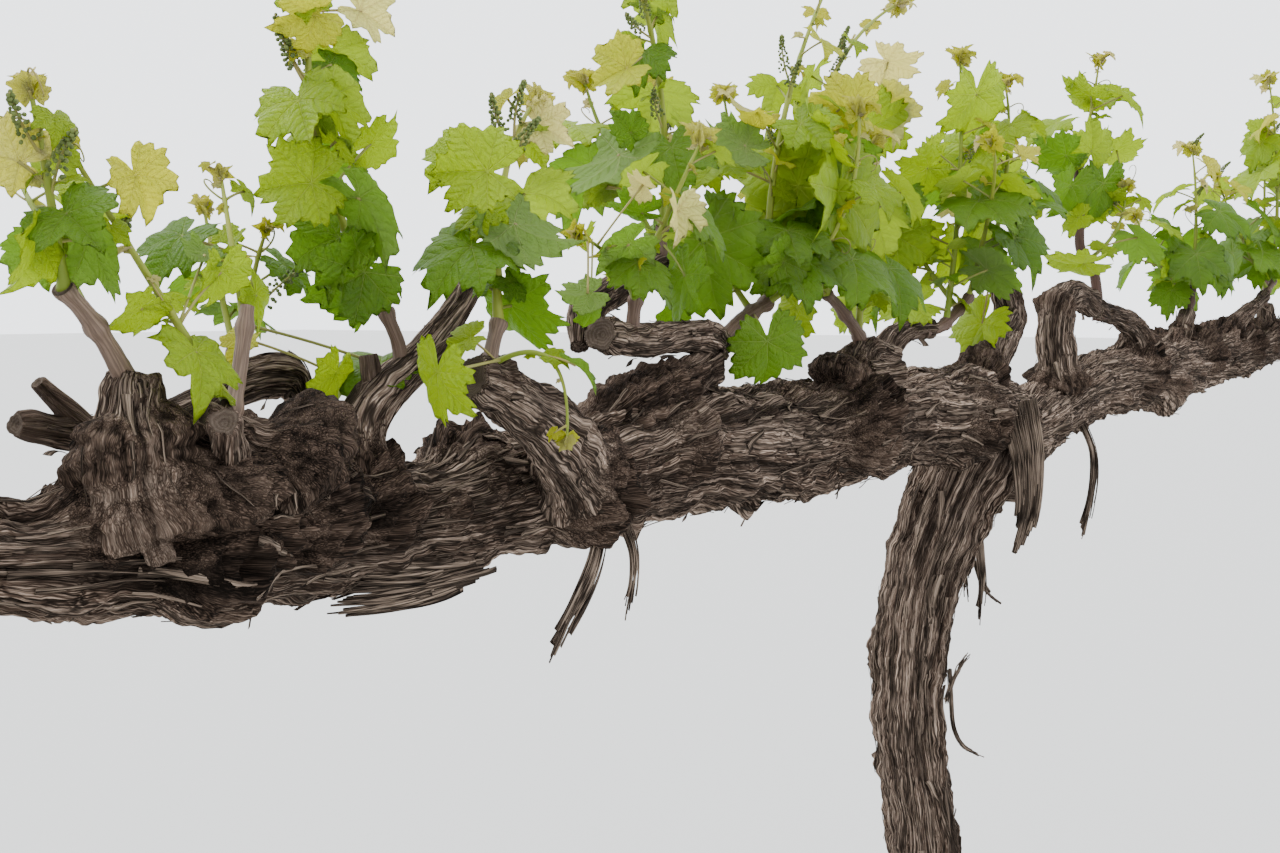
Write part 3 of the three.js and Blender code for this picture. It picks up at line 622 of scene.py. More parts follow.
# The leaves that show most in front, by mass
SHOWN_LEAVES = {
    "foliage_left_8": [
        Shown(35, 165, -60, 165, 160, 72, "young"),
        Shown(42, 225, -58, 255, 62, 84, "bright"),
        Shown(78, 222, -66, 300, 125, 90, "mature"),
        Shown(110, 210, -40, 184, 72, 62, "bright"),
    ],
    "foliage_left_7": [
        Shown(128, 164, -70, 300, 30, 66, "young"),
        Shown(150, 300, -50, 228, 55, 58, "bright"),
        Shown(222, 258, -50, 265, 45, 60, "bright"),
        Shown(215, 258, -44, 165, 115, 42, "mature"),
        Shown(252, 284, -30, 292, 60, 52, "bright"),
    ],
    "foliage_left_6": [
        Shown(398, 362, -8, 186, 68, 84, "mature"),
        Shown(340, 362, -2, 252, 58, 58, "bright"),
        Shown(250, 335, 0, 225, 50, 40, "young"),
    ],
    "foliage_left_5": [
        Shown(327, 182, -40, 184, 15, 78, "bright"),
        Shown(378, 262, -52, 214, 20, 82, "mature"),
        Shown(348, 184, -60, 312, 120, 92, "mature"),
        Shown(360, 152, -36, 32, 50, 56, "bright"),
        Shown(322, 84, -50, 300, 125, 74, "bright"),
        Shown(322, 60, -30, -25, 45, 48, "mature"),
        Shown(326, 10, -44, 206, 30, 62, "young"),
        Shown(350, 6, -34, -28, 35, 56, "tip"),
        Shown(372, 280, -44, 258, 60, 60, "mature"),
    ],
    "foliage_left_4": [
        Shown(503, 172, -110, 178, 20, 80, "bright"),
        Shown(498, 198, -96, 215, 55, 62, "bright"),
        Shown(530, 122, -84, -22, 20, 50, "tip"),
        Shown(500, 214, -108, 324, 125, 84, "mature"),
        Shown(502, 290, -86, 298, 50, 84, "mature"),
        Shown(440, 356, -120, 264, 50, 78, "bright"),
        Shown(478, 335, -90, 200, 50, 40, "bright"),
    ],
    "foliage_left_3_front": [
        Shown(676, 200, -84, 274, 50, 50, "tip"),
        Shown(640, 236, -60, 214, 135, 58, "mature"),
        Shown(652, 212, -50, 182, 60, 46, "mature"),
        Shown(597, 291, -60, 200, 140, 42, "mature"),
        Shown(592, 306, -56, 262, 40, 28, "mature"),
        Shown(650, 188, -80, 150, 40, 30, "tip"),
        Shown(640, 258, -56, 215, 60, 34, "young"),
    ],
    "foliage_left_3_back": [
        Shown(637, 64, -30, 202, 35, 56, "young"),
        Shown(634, 140, -34, 118, 35, 38, "mature"),
        Shown(632, 142, -44, 226, 118, 88, "mature"),
        Shown(650, 173, -20, 214, 45, 36, "bright"),
        Shown(690, 262, -10, 250, 60, 70, "mature"),
    ],
    "foliage_left_3_end": [
        Shown(738, 160, -50, 178, 55, 78, "bright"),
        Shown(757, 150, -20, 162, 125, 62, "mature"),
        Shown(700, 218, -62, 278, 20, 106, "mature"),
        Shown(790, 252, -50, 238, 40, 56, "mature"),
        Shown(766, 112, -30, 176, 68, 42, "young"),
        Shown(708, 208, -70, 320, 120, 50, "mature"),
        Shown(676, 300, -30, 260, 50, 40, "mature"),
        Shown(766, 327, -46, 276, 20, 70, "mature"),
    ],
    "foliage_left_2": [
        Shown(816, 174, -96, 214, 10, 108, "bright"),
        Shown(836, 158, -74, 128, 55, 78, "bright"),
        Shown(838, 168, -66, 274, 62, 122, "bright"),
        Shown(862, 112, -40, 164, 30, 62, "young"),
        Shown(812, 196, -60, 250, 40, 60, "mature"),
        Shown(800, 300, -40, 250, 40, 46, "bright"),
    ],
    "foliage_left_1": [
        Shown(858, 132, -30, 22, 20, 64, "bright"),
        Shown(878, 56, -24, -32, 30, 52, "tip"),
        Shown(936, 162, -20, 214, 40, 52, "bright"),
        Shown(893, 222, -60, 280, 15, 68, "bright"),
        Shown(926, 302, -30, 190, 40, 52, "bright"),
        Shown(870, 210, -50, 262, 45, 66, "bright"),
        Shown(860, 300, -40, 230, 30, 44, "bright"),
        Shown(905, 190, -20, 250, 50, 48, "mature"),
        Shown(880, 95, -36, -60, 140, 54, "young"),
    ],
    "foliage_head": [
        Shown(976, 80, -40, 268, 45, 70, "bright"),
        Shown(966, 250, -50, 330, 130, 56, "mature"),
        Shown(990, 312, -62, 236, 45, 62, "bright"),
        Shown(962, 205, -56, 170, 20, 34, "tip"),
        Shown(940, 150, -30, 262, 40, 56, "bright"),
        Shown(960, 232, -40, 276, 40, 70, "bright"),
    ],
    "foliage_right_1": [
        Shown(1018, 172, 20, 196, 30, 46, "bright"),
        Shown(1075, 152, -10, 204, 35, 46, "mature"),
        Shown(1090, 160, -14, 82, 35, 44, "bright"),
        Shown(1108, 152, -10, 10, 50, 40, "bright"),
        Shown(1105, 172, -16, 262, 45, 56, "mature"),
        Shown(1100, 200, -12, -12, 50, 36, "bright"),
        Shown(1096, 262, -20, 188, 68, 58, "bright"),
        Shown(1100, 100, 0, 160, 55, 44, "bright"),
        Shown(1100, 100, -4, 16, 55, 38, "bright"),
        Shown(1085, 215, -10, 204, 45, 32, "bright"),
        Shown(1075, 175, -18, 250, 50, 52, "mature"),
    ],
}

# The tips of the flower clusters that show most in front, by mass
SHOWN_BUDS = {
    "foliage_left_3_back": ((-725, 7, 1364), (-689, 4, 1308)),
    "foliage_left_3_end": ((-495, -7, 1375),),
    "foliage_left_2": ((-384, -18, 1396),),
    "foliage_left_5": ((-1147, -26, 1304),),
    "foliage_left_4": ((-982, -87, 1278), (-982, -100, 1253)),
    "foliage_left_6": ((-1108, -8, 1154),),
    "foliage_left_8": ((-1374, -77, 1232), (-1346, -90, 1216)),
}


# Chance and noise

CORNERS = list(itertools.product((0, 1), repeat=3))
SLOPES = np.array([way for way in itertools.product((-1, 0, 1), repeat=3) if way.count(0) == 1])
CELL_STEPS = np.array([73856093, 19349663, 83492791])


def dice(seed):
    """The solids' own dice: each roll gives the next number from 0 to 1."""
    state = seed * 2654435761 % 2**32

    def roll():
        nonlocal state
        state = (state * 1664525 + 1013904223) % 2**32
        return state / 2**32

    return roll


def scramble(key):
    """Turns whole numbers into other, well mixed whole numbers under 2**32."""
    key = (key & 0xFFFFFFFF ^ (key & 0xFFFFFFFF) >> 15) * 1274126177 & 0xFFFFFFFF
    key = (key ^ key >> 13) * 1103515245 & 0xFFFFFFFF
    return key ^ key >> 16


def chance(numbers, seed):
    """A number from 0 to 1 for each whole number."""
    return scramble(numbers * 374761393 + seed * 668265263) / 2**32


def noise(points, seed):
    """Smooth noise between about -1 and 1 at each of an array of points."""
    cell = np.floor(points).astype(np.int64)
    part = points - cell
    ease = part**3 * (part * (part * 6 - 15) + 10)
    total = np.zeros(points.shape[:-1])
    for corner in CORNERS:
        slope = SLOPES[scramble((cell + corner) @ CELL_STEPS + seed * 7919) % 12]
        weight = np.prod(np.where(corner, ease, 1 - ease), axis=-1)
        total += weight * np.sum(slope * (part - corner), axis=-1)
    return total


# Vectors and curves

def unit(ways):
    """Each way at length 1."""
    return ways / np.linalg.norm(ways, axis=-1, keepdims=True)


def step(start, end, values):
    """Goes smoothly from 0 at the start to 1 at the end."""
    share = np.clip((values - start) / (end - start), 0, 1)
    return share * share * (3 - 2 * share)


def curve(path, share):
    """Points at shares of the smooth curve through a path."""
    path = np.asarray(path, float)
    path = np.vstack([2 * path[0] - path[1], path, 2 * path[-1] - path[-2]])
    place = np.clip(np.atleast_1d(share), 0, 1) * (len(path) - 3)
    i = np.minimum(place.astype(int), len(path) - 4)
    w = (place - i)[:, None]
    a, b, c, d = (path[i + k] for k in range(4))
    return 0.5 * (2 * b + (c - a) * w + (2 * a - 5 * b + 4 * c - d) * w**2 + (3 * b - a - 3 * c + d) * w**3)


def bow_curve(start, bow, tip, share):
    """Points at shares of a curve that leaves towards its bow and ends at its tip."""
    w = np.atleast_1d(share)[:, None]
    return (1 - w) ** 2 * start + 2 * w * (1 - w) * bow + w**2 * tip


def along(values, share):
    """A value along a row of numbers that are spread evenly."""
    return np.interp(np.asarray(share) * (len(values) - 1), np.arange(len(values)), values)


def frames(points):
    """The ways along a row of points, and the two ways across it."""
    tangent = unit(np.gradient(points, axis=0))
    across = np.array((0.0, 1, 0)) if abs(tangent[0, 1]) < 0.9 else np.array((1.0, 0, 0))
    side = unit(across - tangent * (tangent @ across)[:, None])
    return tangent, np.cross(tangent, side), side


def length_along(points):
    """How far along a row of points each one lies."""
    steps = np.linalg.norm(np.diff(points, axis=0), axis=1)
    return np.concatenate([[0], np.cumsum(steps)])


# Meshes

def grid_faces(rings, sides):
    """Four-sided faces of a tube's grid of points, facing out."""
    ring, turn = np.meshgrid(np.arange(rings - 1), np.arange(sides), indexing="ij")
    here, after = ring * sides + turn, ring * sides + (turn + 1) % sides
    return np.stack([here, here + sides, after + sides, after], axis=-1).reshape(-1, 4)


def end_faces(rings, sides):
    """Fans of triangles that close a tube's ends, round two middle points after its grid."""
    turn = np.arange(sides)
    after = (turn + 1) % sides
    none = np.full(sides, -1)
    first = np.stack([turn, after, none + 1 + rings * sides, none], axis=-1)
    last = np.stack([after, turn, none + 1 + rings * sides + 1, none], axis=-1)
    last[:, :2] += (rings - 1) * sides
    return np.concatenate([first, last])


class Bag:
    """Gathers grids of points, and what the materials read from them, into one mesh."""

    def __init__(self):
        self.points, self.faces, self.kinds, self.grain, self.look = [], [], [], [], []
        self.count = 0

    def add(self, points, faces, grain, look, kind=0):
        """Adds a mesh: its points, faces, grain vectors, look colours and kinds of material."""
        points = points.reshape(-1, 3)
        self.points.append(points)
        self.faces.append(np.where(faces < 0, -1, faces + self.count))
        self.kinds.append(np.broadcast_to(kind, len(faces)))
        self.grain.append(np.broadcast_to(grain, points.shape))
        self.look.append(np.broadcast_to(look, (len(points), 4)))
        self.count += len(points)

    def add_tube(self, grid, run, look, kind=0, end_kind=None):
        """Adds a closed tube from its grid of points. The run is how far along each ring lies."""
        rings, sides, _ = grid.shape
        middles = grid.mean(axis=1)
        points = np.concatenate([grid.reshape(-1, 3), middles[:1], middles[-1:]])
        turn = np.linspace(0, 2 * np.pi, sides, endpoint=False)
        wide = np.linalg.norm(grid - middles[:, None], axis=-1).mean()
        grain = np.empty((rings, sides, 3))
        grain[..., 0], grain[..., 1], grain[..., 2] = np.cos(turn) * wide, np.sin(turn) * wide, run[:, None]
        ends = np.array([[0, 0, run[0]], [0, 0, run[-1]]])
        look = np.broadcast_to(look, (rings, sides, 4)).reshape(-1, 4)
        looks = np.concatenate([look, look[:1], look[-1:]])
        faces = np.concatenate([grid_faces(rings, sides), end_faces(rings, sides)])
        kinds = np.full(len(faces), kind)
        kinds[-2 * sides:] = kind if end_kind is None else end_kind
        self.add(points, faces, np.concatenate([grain.reshape(-1, 3), ends]), looks, kinds)

    def make(self, name, slot, materials, nodes=()):
        """Makes the mesh into a piece that rides with the vine and stands for its nodes."""
        points, faces = np.concatenate(self.points) * MM, np.concatenate(self.faces)
        used = faces >= 0
        corners = used.sum(axis=1)
        mesh = bpy.data.meshes.new(name)
        mesh.vertices.add(len(points))
        mesh.vertices.foreach_set("co", points.astype(np.float32).ravel())
        mesh.loops.add(int(corners.sum()))
        mesh.loops.foreach_set("vertex_index", faces[used].astype(np.int32))
        mesh.polygons.add(len(faces))
        mesh.polygons.foreach_set("loop_start", (np.cumsum(corners) - corners).astype(np.int32))
        mesh.polygons.foreach_set("material_index", np.concatenate(self.kinds).astype(np.int32))
        grain = mesh.attributes.new("grain", "FLOAT_VECTOR", "POINT")
        grain.data.foreach_set("vector", np.concatenate(self.grain).astype(np.float32).ravel())
        look = mesh.attributes.new("look", "FLOAT_COLOR", "POINT")
        look.data.foreach_set("color", np.concatenate(self.look).astype(np.float32).ravel())
        for material in materials:
            mesh.materials.append(material)
        mesh.update(calc_edges=True)
        mesh.shade_smooth()
        piece = bpy.data.objects.new(name, mesh)
        bpy.context.scene.collection.objects.link(piece)
        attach(piece, "root")
        if nodes:
            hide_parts(*nodes)


def tube_grid(points, radii, sides):
    """A round tube's grid of points round a row of points."""
    _, front, side = frames(points)
    turn = np.linspace(0, 2 * np.pi, sides, endpoint=False)[None, :, None]
    wide = np.asarray(radii, float)[:, None, None]
    return points[:, None] + wide * (front[:, None] * np.cos(turn) + side[:, None] * np.sin(turn))


# Old wood

def swell(far, middle, direction, burls):
    """Swells a limb out to the balls of its burls, blended softly."""
    for x, y, z, radius in burls:
        to_ball = np.array((x, y, z)) - middle
        nearest = np.einsum("rsk,rk->rs", direction, to_ball)
        inside = radius**2 - np.sum(to_ball**2, axis=-1)[:, None] + nearest**2
        ball = np.where(inside > 0, nearest + np.sqrt(np.maximum(inside, 0)), 0)
        mix = np.clip(0.5 + 0.5 * (ball - far) / BURL_BLEND, 0, 1)
        far = far * (1 - mix) + ball * mix + BURL_BLEND * mix * (1 - mix)
    return far


def strips_over(phase, count, run, length, seed):
    """Long overlapping strips across a phase: how far each point stands out, and each strip's own tone."""
    strip = np.floor(phase).astype(np.int64)
    across = phase - strip
    strip %= count
    place = np.stack([run / length, strip * 5.37, np.full(run.shape, seed * 1.7)], axis=-1)
    own = noise(place, seed)
    lift = (0.1 + 0.9 * step(-0.3, -0.22, own)) * np.clip(0.66 + 0.9 * own, 0.25, 1.15)
    return lift * across**0.8 * step(1.0, 0.86, across), chance(strip, seed)


def chance_knobs(spec, middle, rng, knob_size):
    """Small knobs set in a limb's surface by chance, as balls."""
    radii = along(spec["radii"], np.linspace(0, 1, len(middle)))
    knobs = []
    for _ in range(spec.get("knobs", 3)):
        i = rng.integers(len(middle) // 12, len(middle) * 11 // 12)
        turn = rng.uniform(0, 2 * np.pi)
        size = knob_size * rng.uniform(0.5, 1.2)
        way = np.array((0.25 * rng.normal(), np.cos(turn), 0.25 + np.sin(turn)))
        knobs.append((*(middle[i] + unit(way) * (radii[i] - 0.35 * size)), size))
    return knobs


def way_out(middle, ball):
    """The way from a limb's middle line to the middle of a ball."""
    return ball - middle[np.argmin(np.linalg.norm(middle - ball, axis=1))]


def knot_rings(surface, middle, knots):
    """How far the grain is pushed aside round each knot, fading with distance."""
    bend = np.zeros(surface.shape[:2])
    for x, y, z, radius in knots:
        ball = np.array((x, y, z))
        away = way_out(middle, ball)
        away = away if np.linalg.norm(away) > 6 else np.array((0.1, -0.7, 0.7))
        far = np.linalg.norm(surface - (ball + unit(away) * radius), axis=-1)
        reach = 0.6 * radius
        bend += 0.5 * reach * np.exp(-0.5 * (far / reach) ** 2)
    return bend


def healed_wound(far, size, lip, lip_width, hollow, level):
    """How far a wound's lip and hollow stand out, at distances from its middle."""
    raised = lip * size * np.exp(-(((far - size) / (lip_width * size)) ** 2))
    return raised - hollow * size * step(size, level * size, far)


def wounds(surface, middle, knots, rng):
    """Healed wounds on a limb: how far they stand out, how dark they are, and where the bark is smooth."""
    depth, dark, smooth = np.zeros((3, *surface.shape[:2]))
    for x, y, z, radius in knots:
        ball = np.array((x, y, z))
        away = way_out(middle, ball)
        if np.linalg.norm(away) < 8 or rng.random() < 0.3:
            continue
        far = np.linalg.norm(surface - ball - unit(away) * radius, axis=-1)
        size = rng.uniform(0.2, 0.34) * radius
        depth += healed_wound(far, size, *SMALL_WOUND)
        dark += step(0.95 * size, 0.6 * size, far)
    for x, y, z, size in OLD_WOUNDS:
        far = np.linalg.norm(surface - (x, y, z), axis=-1)
        if far.min() > WOUND_REACH:
            continue
        far = np.linalg.norm(surface - surface.reshape(-1, 3)[far.argmin()], axis=-1)
        depth += healed_wound(far, size, *LARGE_WOUND)
        depth += 0.06 * size * np.cos(16 * far / size) * step(1.8 * size, 0.8 * size, far)
        dark += 0.6 * step(0.7 * size, 0.35 * size, far)
        dark += 0.6 * np.exp(-(((far - 1.4 * size) / (0.2 * size)) ** 2))
        smooth += step(1.7 * size, 1.2 * size, far)
    return depth, np.minimum(dark, 1), np.minimum(smooth, 1)


def bare_radii(spec, share, run, turn):
    """A limb's radii before its burls: fluted, swollen round its cut, thinner at its root."""
    radii = spec["radii"]
    flutes, flute, twist = spec.get("flutes", 3), spec.get("flute", 0.06), spec.get("twist", 2)
    along_it = share[:, None]
    shape = 1 + flute * np.cos(flutes * turn + twist * along_it)
    shape += 0.6 * flute * np.cos((flutes + 2) * turn - 3 * twist * along_it + radii[0])
    from_cut = (share - CUT_PLACE) * run[-1] / radii[-1]
    plain = along(radii, share) * (1 + spec.get("callus", 0.0) * np.exp(-(from_cut**2)))
    plain = plain * (1 - spec.get("root", 0.0) * np.exp(-((run / ROOT_FADE) ** 2)))
    return plain[:, None] * shape


def limb(bag, spec, seed, others=()):
    """Adds an old limb with its bark, and returns its surface, the ways out of it and its run."""
    radii = spec["radii"]
    size = float(np.mean(radii))
    rough_length = length_along(curve(spec["path"], np.linspace(0, 1, 40)))[-1]
    rings = spec.get("rings", int(rough_length / 1.6) + 8)
    sides = spec.get("sides", int(2 * np.pi * size / 1.6) // 2 * 2)
    share = np.linspace(0, 1, rings)
    middle = curve(spec["path"], share)
    tangent, front, side = frames(middle)
    turn = np.linspace(0, 2 * np.pi, sides, endpoint=False) + np.pi / 2
    direction = front[:, None] * np.cos(turn)[:, None] + side[:, None] * np.sin(turn)[:, None]
    run = length_along(middle)
    bare = bare_radii(spec, share, run, turn)
    rng = np.random.default_rng(seed)
    knots = [*spec.get("burls", ()), *chance_knobs(spec, middle, rng, KNOB_SHARE * size)]
    far = swell(bare, middle, direction, knots)
    for other in others:
        apart = np.array([other.find_nearest(Vector(point))[3] for point in middle])
        far *= 1 + (COLLAR * np.exp(-((apart / COLLAR_FADE) ** 2)))[:, None]
    surface = middle[:, None] + direction * far[..., None]
    age = np.clip(along(radii, share)[:, None] / 16, 0.35, 1) + np.zeros((rings, sides))
    swollen = np.clip(3.5 * (far / bare - 1), 0, 1) * step(-0.8, -0.2, direction[..., 2])
    reach = size + (0.25 + 0.35 * swollen) * (far - size)
    runs = run[:, None] + np.zeros((rings, sides))
    skin = Skin(surface, middle, turn, runs, reach, age, swollen, knots)
    relief, look, grain = bark_relief(spec, skin, seed)
    wound, dark, smooth = wounds(surface, middle, knots, rng)
    relief = relief * (1 - 0.75 * smooth) + wound
    # The look's first channel is the painted shade of grooves and creases; it takes the dark of healed wounds
    # too.
    look[..., 0] = np.maximum(look[..., 0], 0.5 * dark)
    look[..., 1] -= 0.4 * swollen
    look[..., 3] = 1 - 0.68 * swollen
    surface = surface + direction * relief[..., None]
    surface[..., 2] = np.maximum(surface[..., 2], 0)
    finish_limb(bag, surface, tangent, grain, look, seed)
    return surface, direction, run


def strip_shift(spec, skin, size, seed):
    """How far the bark's strips bend aside, by chance and round the knots."""
    across, upward = np.cos(skin.turn) * size, np.sin(skin.turn) * size
    place = np.stack([across + 0 * skin.run, upward + 0 * skin.run, skin.run], axis=-1)
    wander = 0.6 * noise(place / (40, 40, 160), seed + 1) + 0.1 * noise(place / (14, 14, 70), seed + 2)
    return spec.get("wander", 1) * wander * STRIP_WIDTH + knot_rings(skin.surface, skin.middle, skin.knots)


def bark_grain(skin, shift, size, seed):
    """Where each point lies in the grain that the materials follow."""
    fibre = skin.turn + shift * (1 - skin.swollen) / size
    grain = [skin.reach * np.cos(fibre), skin.reach * np.sin(fibre)]
    for i in range(2):
        broad, fine = noise(skin.surface / 45, seed + 6 + i), noise(skin.surface / 14, seed + 6 + i)
        grain[i] = grain[i] + (1 + 4 * skin.swollen) * broad + fine
    run = skin.run + 8 * noise(skin.surface / 40, seed + 8)
    return np.stack([*grain, run], axis=-1)


def bark_relief(spec, skin, seed):
    """How far the bark stands out from a limb, its look (painted shade in the grooves between strips and in
    the creases of burls, tone with a painted highlight where the strips lift, youth, contrast) and its grain.
    """
    size = float(skin.reach.mean())
    surface, swollen = skin.surface, skin.swollen
    shift = strip_shift(spec, skin, size, seed)
    relief, crevice_shade, tone = 0, 0, 0
    for i, (width, lift, length, weight) in enumerate(BARK_LAYERS):
        count = max(4, round(2 * np.pi * size / width))
        phase = count * skin.turn / (2 * np.pi) + shift / width + skin.run / (260 + 70 * i)
        high, own_tone = strips_over(phase, count, skin.run, length, seed + 10 * i)
        relief = relief + spec.get("lift", 1) * lift * (high - 0.42)
        # Painted shade: the low start of each strip, where it lies under the lifted edge of the one before,
        # is marked for the dark colour, and the strip's tone grows paler as it lifts, a painted highlight on
        # its edge.
        crevice_shade = crevice_shade + weight * step(0.3, 0.0, high)
        tone = tone + weight * (0.55 * own_tone + 0.55 * high)
    crease = np.abs(noise(surface / 17, seed + 9)) + 0.4 * np.abs(noise(surface / 7, seed + 10))
    relief = relief * (1 - 0.45 * swollen) + swollen * CREASE_DEPTH * (crease - 0.3)
    # Painted shade in the deepest creases of the swollen burls.
    crevice_shade = np.maximum(crevice_shade, swollen * step(0.24, 0.04, crease))
    lumps = noise(surface / 38, seed + 3) + 0.5 * noise(surface / 15, seed + 4)
    lumps = lumps + 0.25 * noise(surface / 6, seed + 5)
    relief = relief * skin.age * min(1, 0.35 + size / 60)
    relief = relief + LUMP_HEIGHT * skin.age * lumps * min(1, size / 45)
    look = np.stack([crevice_shade, tone, 1 - step(0.4, 0.65, skin.age), np.ones(skin.run.shape)], axis=-1)
    return relief, look, bark_grain(skin, shift, size, seed)


def finish_limb(bag, surface, tangent, grain, look, seed):
    """Closes a limb with a worn, uneven cut at its end and adds it to the bag."""
    rings, sides, _ = surface.shape
    centre = surface[-1].mean(axis=0)
    out = surface[-1] - centre
    wide = np.linalg.norm(out, axis=-1).mean()
    caps, spreads = [], []
    for share, lift in CUT_PROFILE:
        ragged = noise((centre + out * share) / (0.5 * wide), seed + 6)[:, None]
        caps.append(centre + out * share + tangent[-1] * wide * (lift + 0.16 * ragged))
        spreads.append(share)
    grid = np.concatenate([surface, np.stack(caps)])
    cap_grain = grain[-1][None] * np.array(spreads)[:, None, None]
    cap_grain[..., 2] = grain[-1, :, 2]
    grain = np.concatenate([grain, cap_grain])
    looks = np.concatenate([look, np.repeat(look[-1:], len(caps), axis=0)])
    points = np.concatenate([grid.reshape(-1, 3), surface[0].mean(axis=0)[None], grid[-1].mean(axis=0)[None]])
    faces = np.concatenate([grid_faces(len(grid), sides), end_faces(len(grid), sides)])
    kinds = np.zeros(len(faces), int)
    kinds[(rings + 1) * sides:(len(grid) - 1) * sides] = 1
    kinds[-sides:] = 1
    grains = np.concatenate([grain.reshape(-1, 3), [[0, 0, 0], [0, 0, grain[-1, 0, 2]]]])
    looks = np.concatenate([looks.reshape(-1, 4), looks[0, :1], looks[-1, :1]])
    bag.add(points, faces, grains, looks, kinds)


# Loose bark

def ribbon(bag, points, thin_way, width, thickness, tone):
    """Adds one flat, thin fibre of bark that widens from its start."""
    share = np.linspace(0, 1, len(points))
    taper = np.maximum(np.sin(np.pi * 0.05 + 0.93 * share) ** 0.6, 0.1)[:, None, None]
    tangent = unit(np.gradient(points, axis=0))
    wide_way = unit(np.cross(tangent, thin_way))
    thin = np.cross(wide_way, tangent)
    turn = np.arange(4)[:, None] * np.pi / 2
    across = wide_way[:, None] * np.cos(turn) * width / 2 * taper
    across = across + thin[:, None] * np.sin(turn) * thickness / 2
    bag.add_tube(points[:, None] + across, length_along(points), (0.1, tone, 0, 1))


def loose_fibres(bag, limb_surface, count, rng, longest):
    """Thin fibres and flakes that peel off a limb's bark, and hang where they are on its underside."""
    surface, direction, run = limb_surface
    rings, sides, _ = surface.shape
    along_it = np.linspace(0, 1, FIBRE_POINTS)
    for _ in range(count):
        flake = rng.random() < 0.4
        length = rng.uniform(0.2, 0.5 if flake else 1) * longest
        start = rng.uniform(0, max(1, run[-1] - length))
        places = np.linspace(start, start + length, FIBRE_POINTS)
        ring = np.clip(np.searchsorted(run, places), 0, rings - 1)
        drift = rng.uniform(-0.04, 0.04) * sides
        turn = (rng.uniform(0, sides) + np.linspace(0, drift, FIBRE_POINTS)).astype(int) % sides
        middle = FIBRE_POINTS // 2
        under = direction[ring[middle], turn[middle], 2] < -0.35
        loose = rng.uniform(2, 14) if under else rng.uniform(0, 4.5)
        lift = rng.uniform(0.3, 1.3) + loose * np.abs(along_it - rng.uniform(0, 0.4)) ** 2.5
        outward = direction[ring, turn]
        points = surface[ring, turn] + outward * lift[:, None]
        points[1:-1] = (points[:-2] + 2 * points[1:-1] + points[2:]) / 4
        points[:, 2] = np.maximum(points[:, 2], 6)
        width = rng.uniform(4, 10) if flake else rng.uniform(1.0, 4)
        ribbon(bag, points, outward, width, rng.uniform(0.5, 1.0), rng.random())


def hanging_strip(bag, spec, rng):
    """A strip of torn bark: fibres side by side, in two layers, that fray to the strip's end."""
    count = int(5 + 0.4 * spec["width"])
    for i in range(2 * count):
        layer = i // count
        place = 2 * (i % count + rng.uniform(0.2, 0.8)) / count - 1
        start = spec.get("ragged", 0) * rng.random()
        end = 1 - 0.22 * abs(place) - (0.12 + 0.25 * layer) * rng.random()
        share = np.linspace(start, end, STRIP_POINTS)
        middle = curve(spec["path"], share)
        _, front, side = frames(middle)
        turn = math.radians(spec.get("turn", 0))
        wide_way = front * math.cos(turn) - side * math.sin(turn)
        thin_way = side * math.cos(turn) + front * math.sin(turn)
        waves = np.stack([share * 2.5, 0 * share + 2 * place, 0 * share + 3.0 * layer], axis=-1)
        sway = noise(waves, 5)[:, None]
        spread = spec["width"] * (0.8 - 0.45 * share)[:, None]
        points = middle + wide_way * spread * (place + 0.35 * sway * share[:, None])
        points += thin_way * (2.5 * layer - 1 + rng.uniform(-0.8, 0.8) + 7 * sway * share[:, None])
        width = 2.3 * spec["width"] / count * rng.uniform(0.8, 1.7)
        twist = thin_way + wide_way * rng.uniform(-0.7, 0.7) * share[:, None]
        ribbon(bag, points, twist, width, rng.uniform(0.8, 1.6), rng.random())


# Canes, shoots and leaves

def bezier_of(mass, sprout):
    """The start, bow and tip of a shoot that grows from its mass's cane."""
    start = curve(mass["path"], sprout.at)[0]
    tip = np.array(sprout.tip, float)
    return start, (start + tip) / 2 + 2 * np.array(sprout.bow), tip


def leaf_share(share):
    """How large a leaf is at a share of its shoot's length."""
    return 0.78 + 0.73 * share if share < 0.3 else 1 - 1.05 * (share - 0.3)


def leaf_place(root, tangent, share, compass, reach, lift, droop, skew, start):
    """Where a leaf grows and how it faces."""
    out = np.array((math.cos(compass), math.sin(compass), 0))
    end = root + unit(out * 0.9 + tangent * lift) * reach * PETIOLE_SHARE
    midrib = unit(out * 0.75 + UP * droop + np.cross(UP, out) * skew)
    face = out * 0.5 + UP * 0.8
    face = unit(face - midrib * (face @ midrib))
    return Leaf(root, out, end, midrib, face, start, reach, share)


def node_share(sprout, number):
    """How far up its shoot a leaf of this number grows."""
    return ((number + 0.8) / sprout.nodes) ** 0.92


def leaf_places(sprout, ends, roll):
    """The solids' rule for the leaves of a shoot, with the same rolls of the dice."""
    for i in range(sprout.nodes):
        share = node_share(sprout, i)
        root, tangent = shoot_point(ends, min(share, LAST_NODE))
        compass = math.radians(sprout.side + 180 * (i % 2) + 70 * (roll() - 0.5))
        reach = sprout.leaf * leaf_share(share) * (0.88 + 0.24 * roll())
        lift = 0.35 + 0.5 * roll()
        droop = -0.2 - 0.6 * roll()
        skew = 0.7 * (roll() - 0.5)
        yield leaf_place(root, tangent, share, compass, reach, lift, droop, skew, 70 * (roll() - 0.5))


def shoot_point(ends, share):
    """A shoot's point and direction at a share of it."""
    start, bow, tip = ends
    way = (1 - share) * (bow - start) + share * (tip - bow)
    return bow_curve(start, bow, tip, share)[0], unit(way)


def turned(leaf, degrees):
    """A leaf's upper face once it is turned about its midrib."""
    turn = math.radians(leaf.start + degrees)
    return leaf.face * math.cos(turn) + np.cross(leaf.midrib, leaf.face) * math.sin(turn)


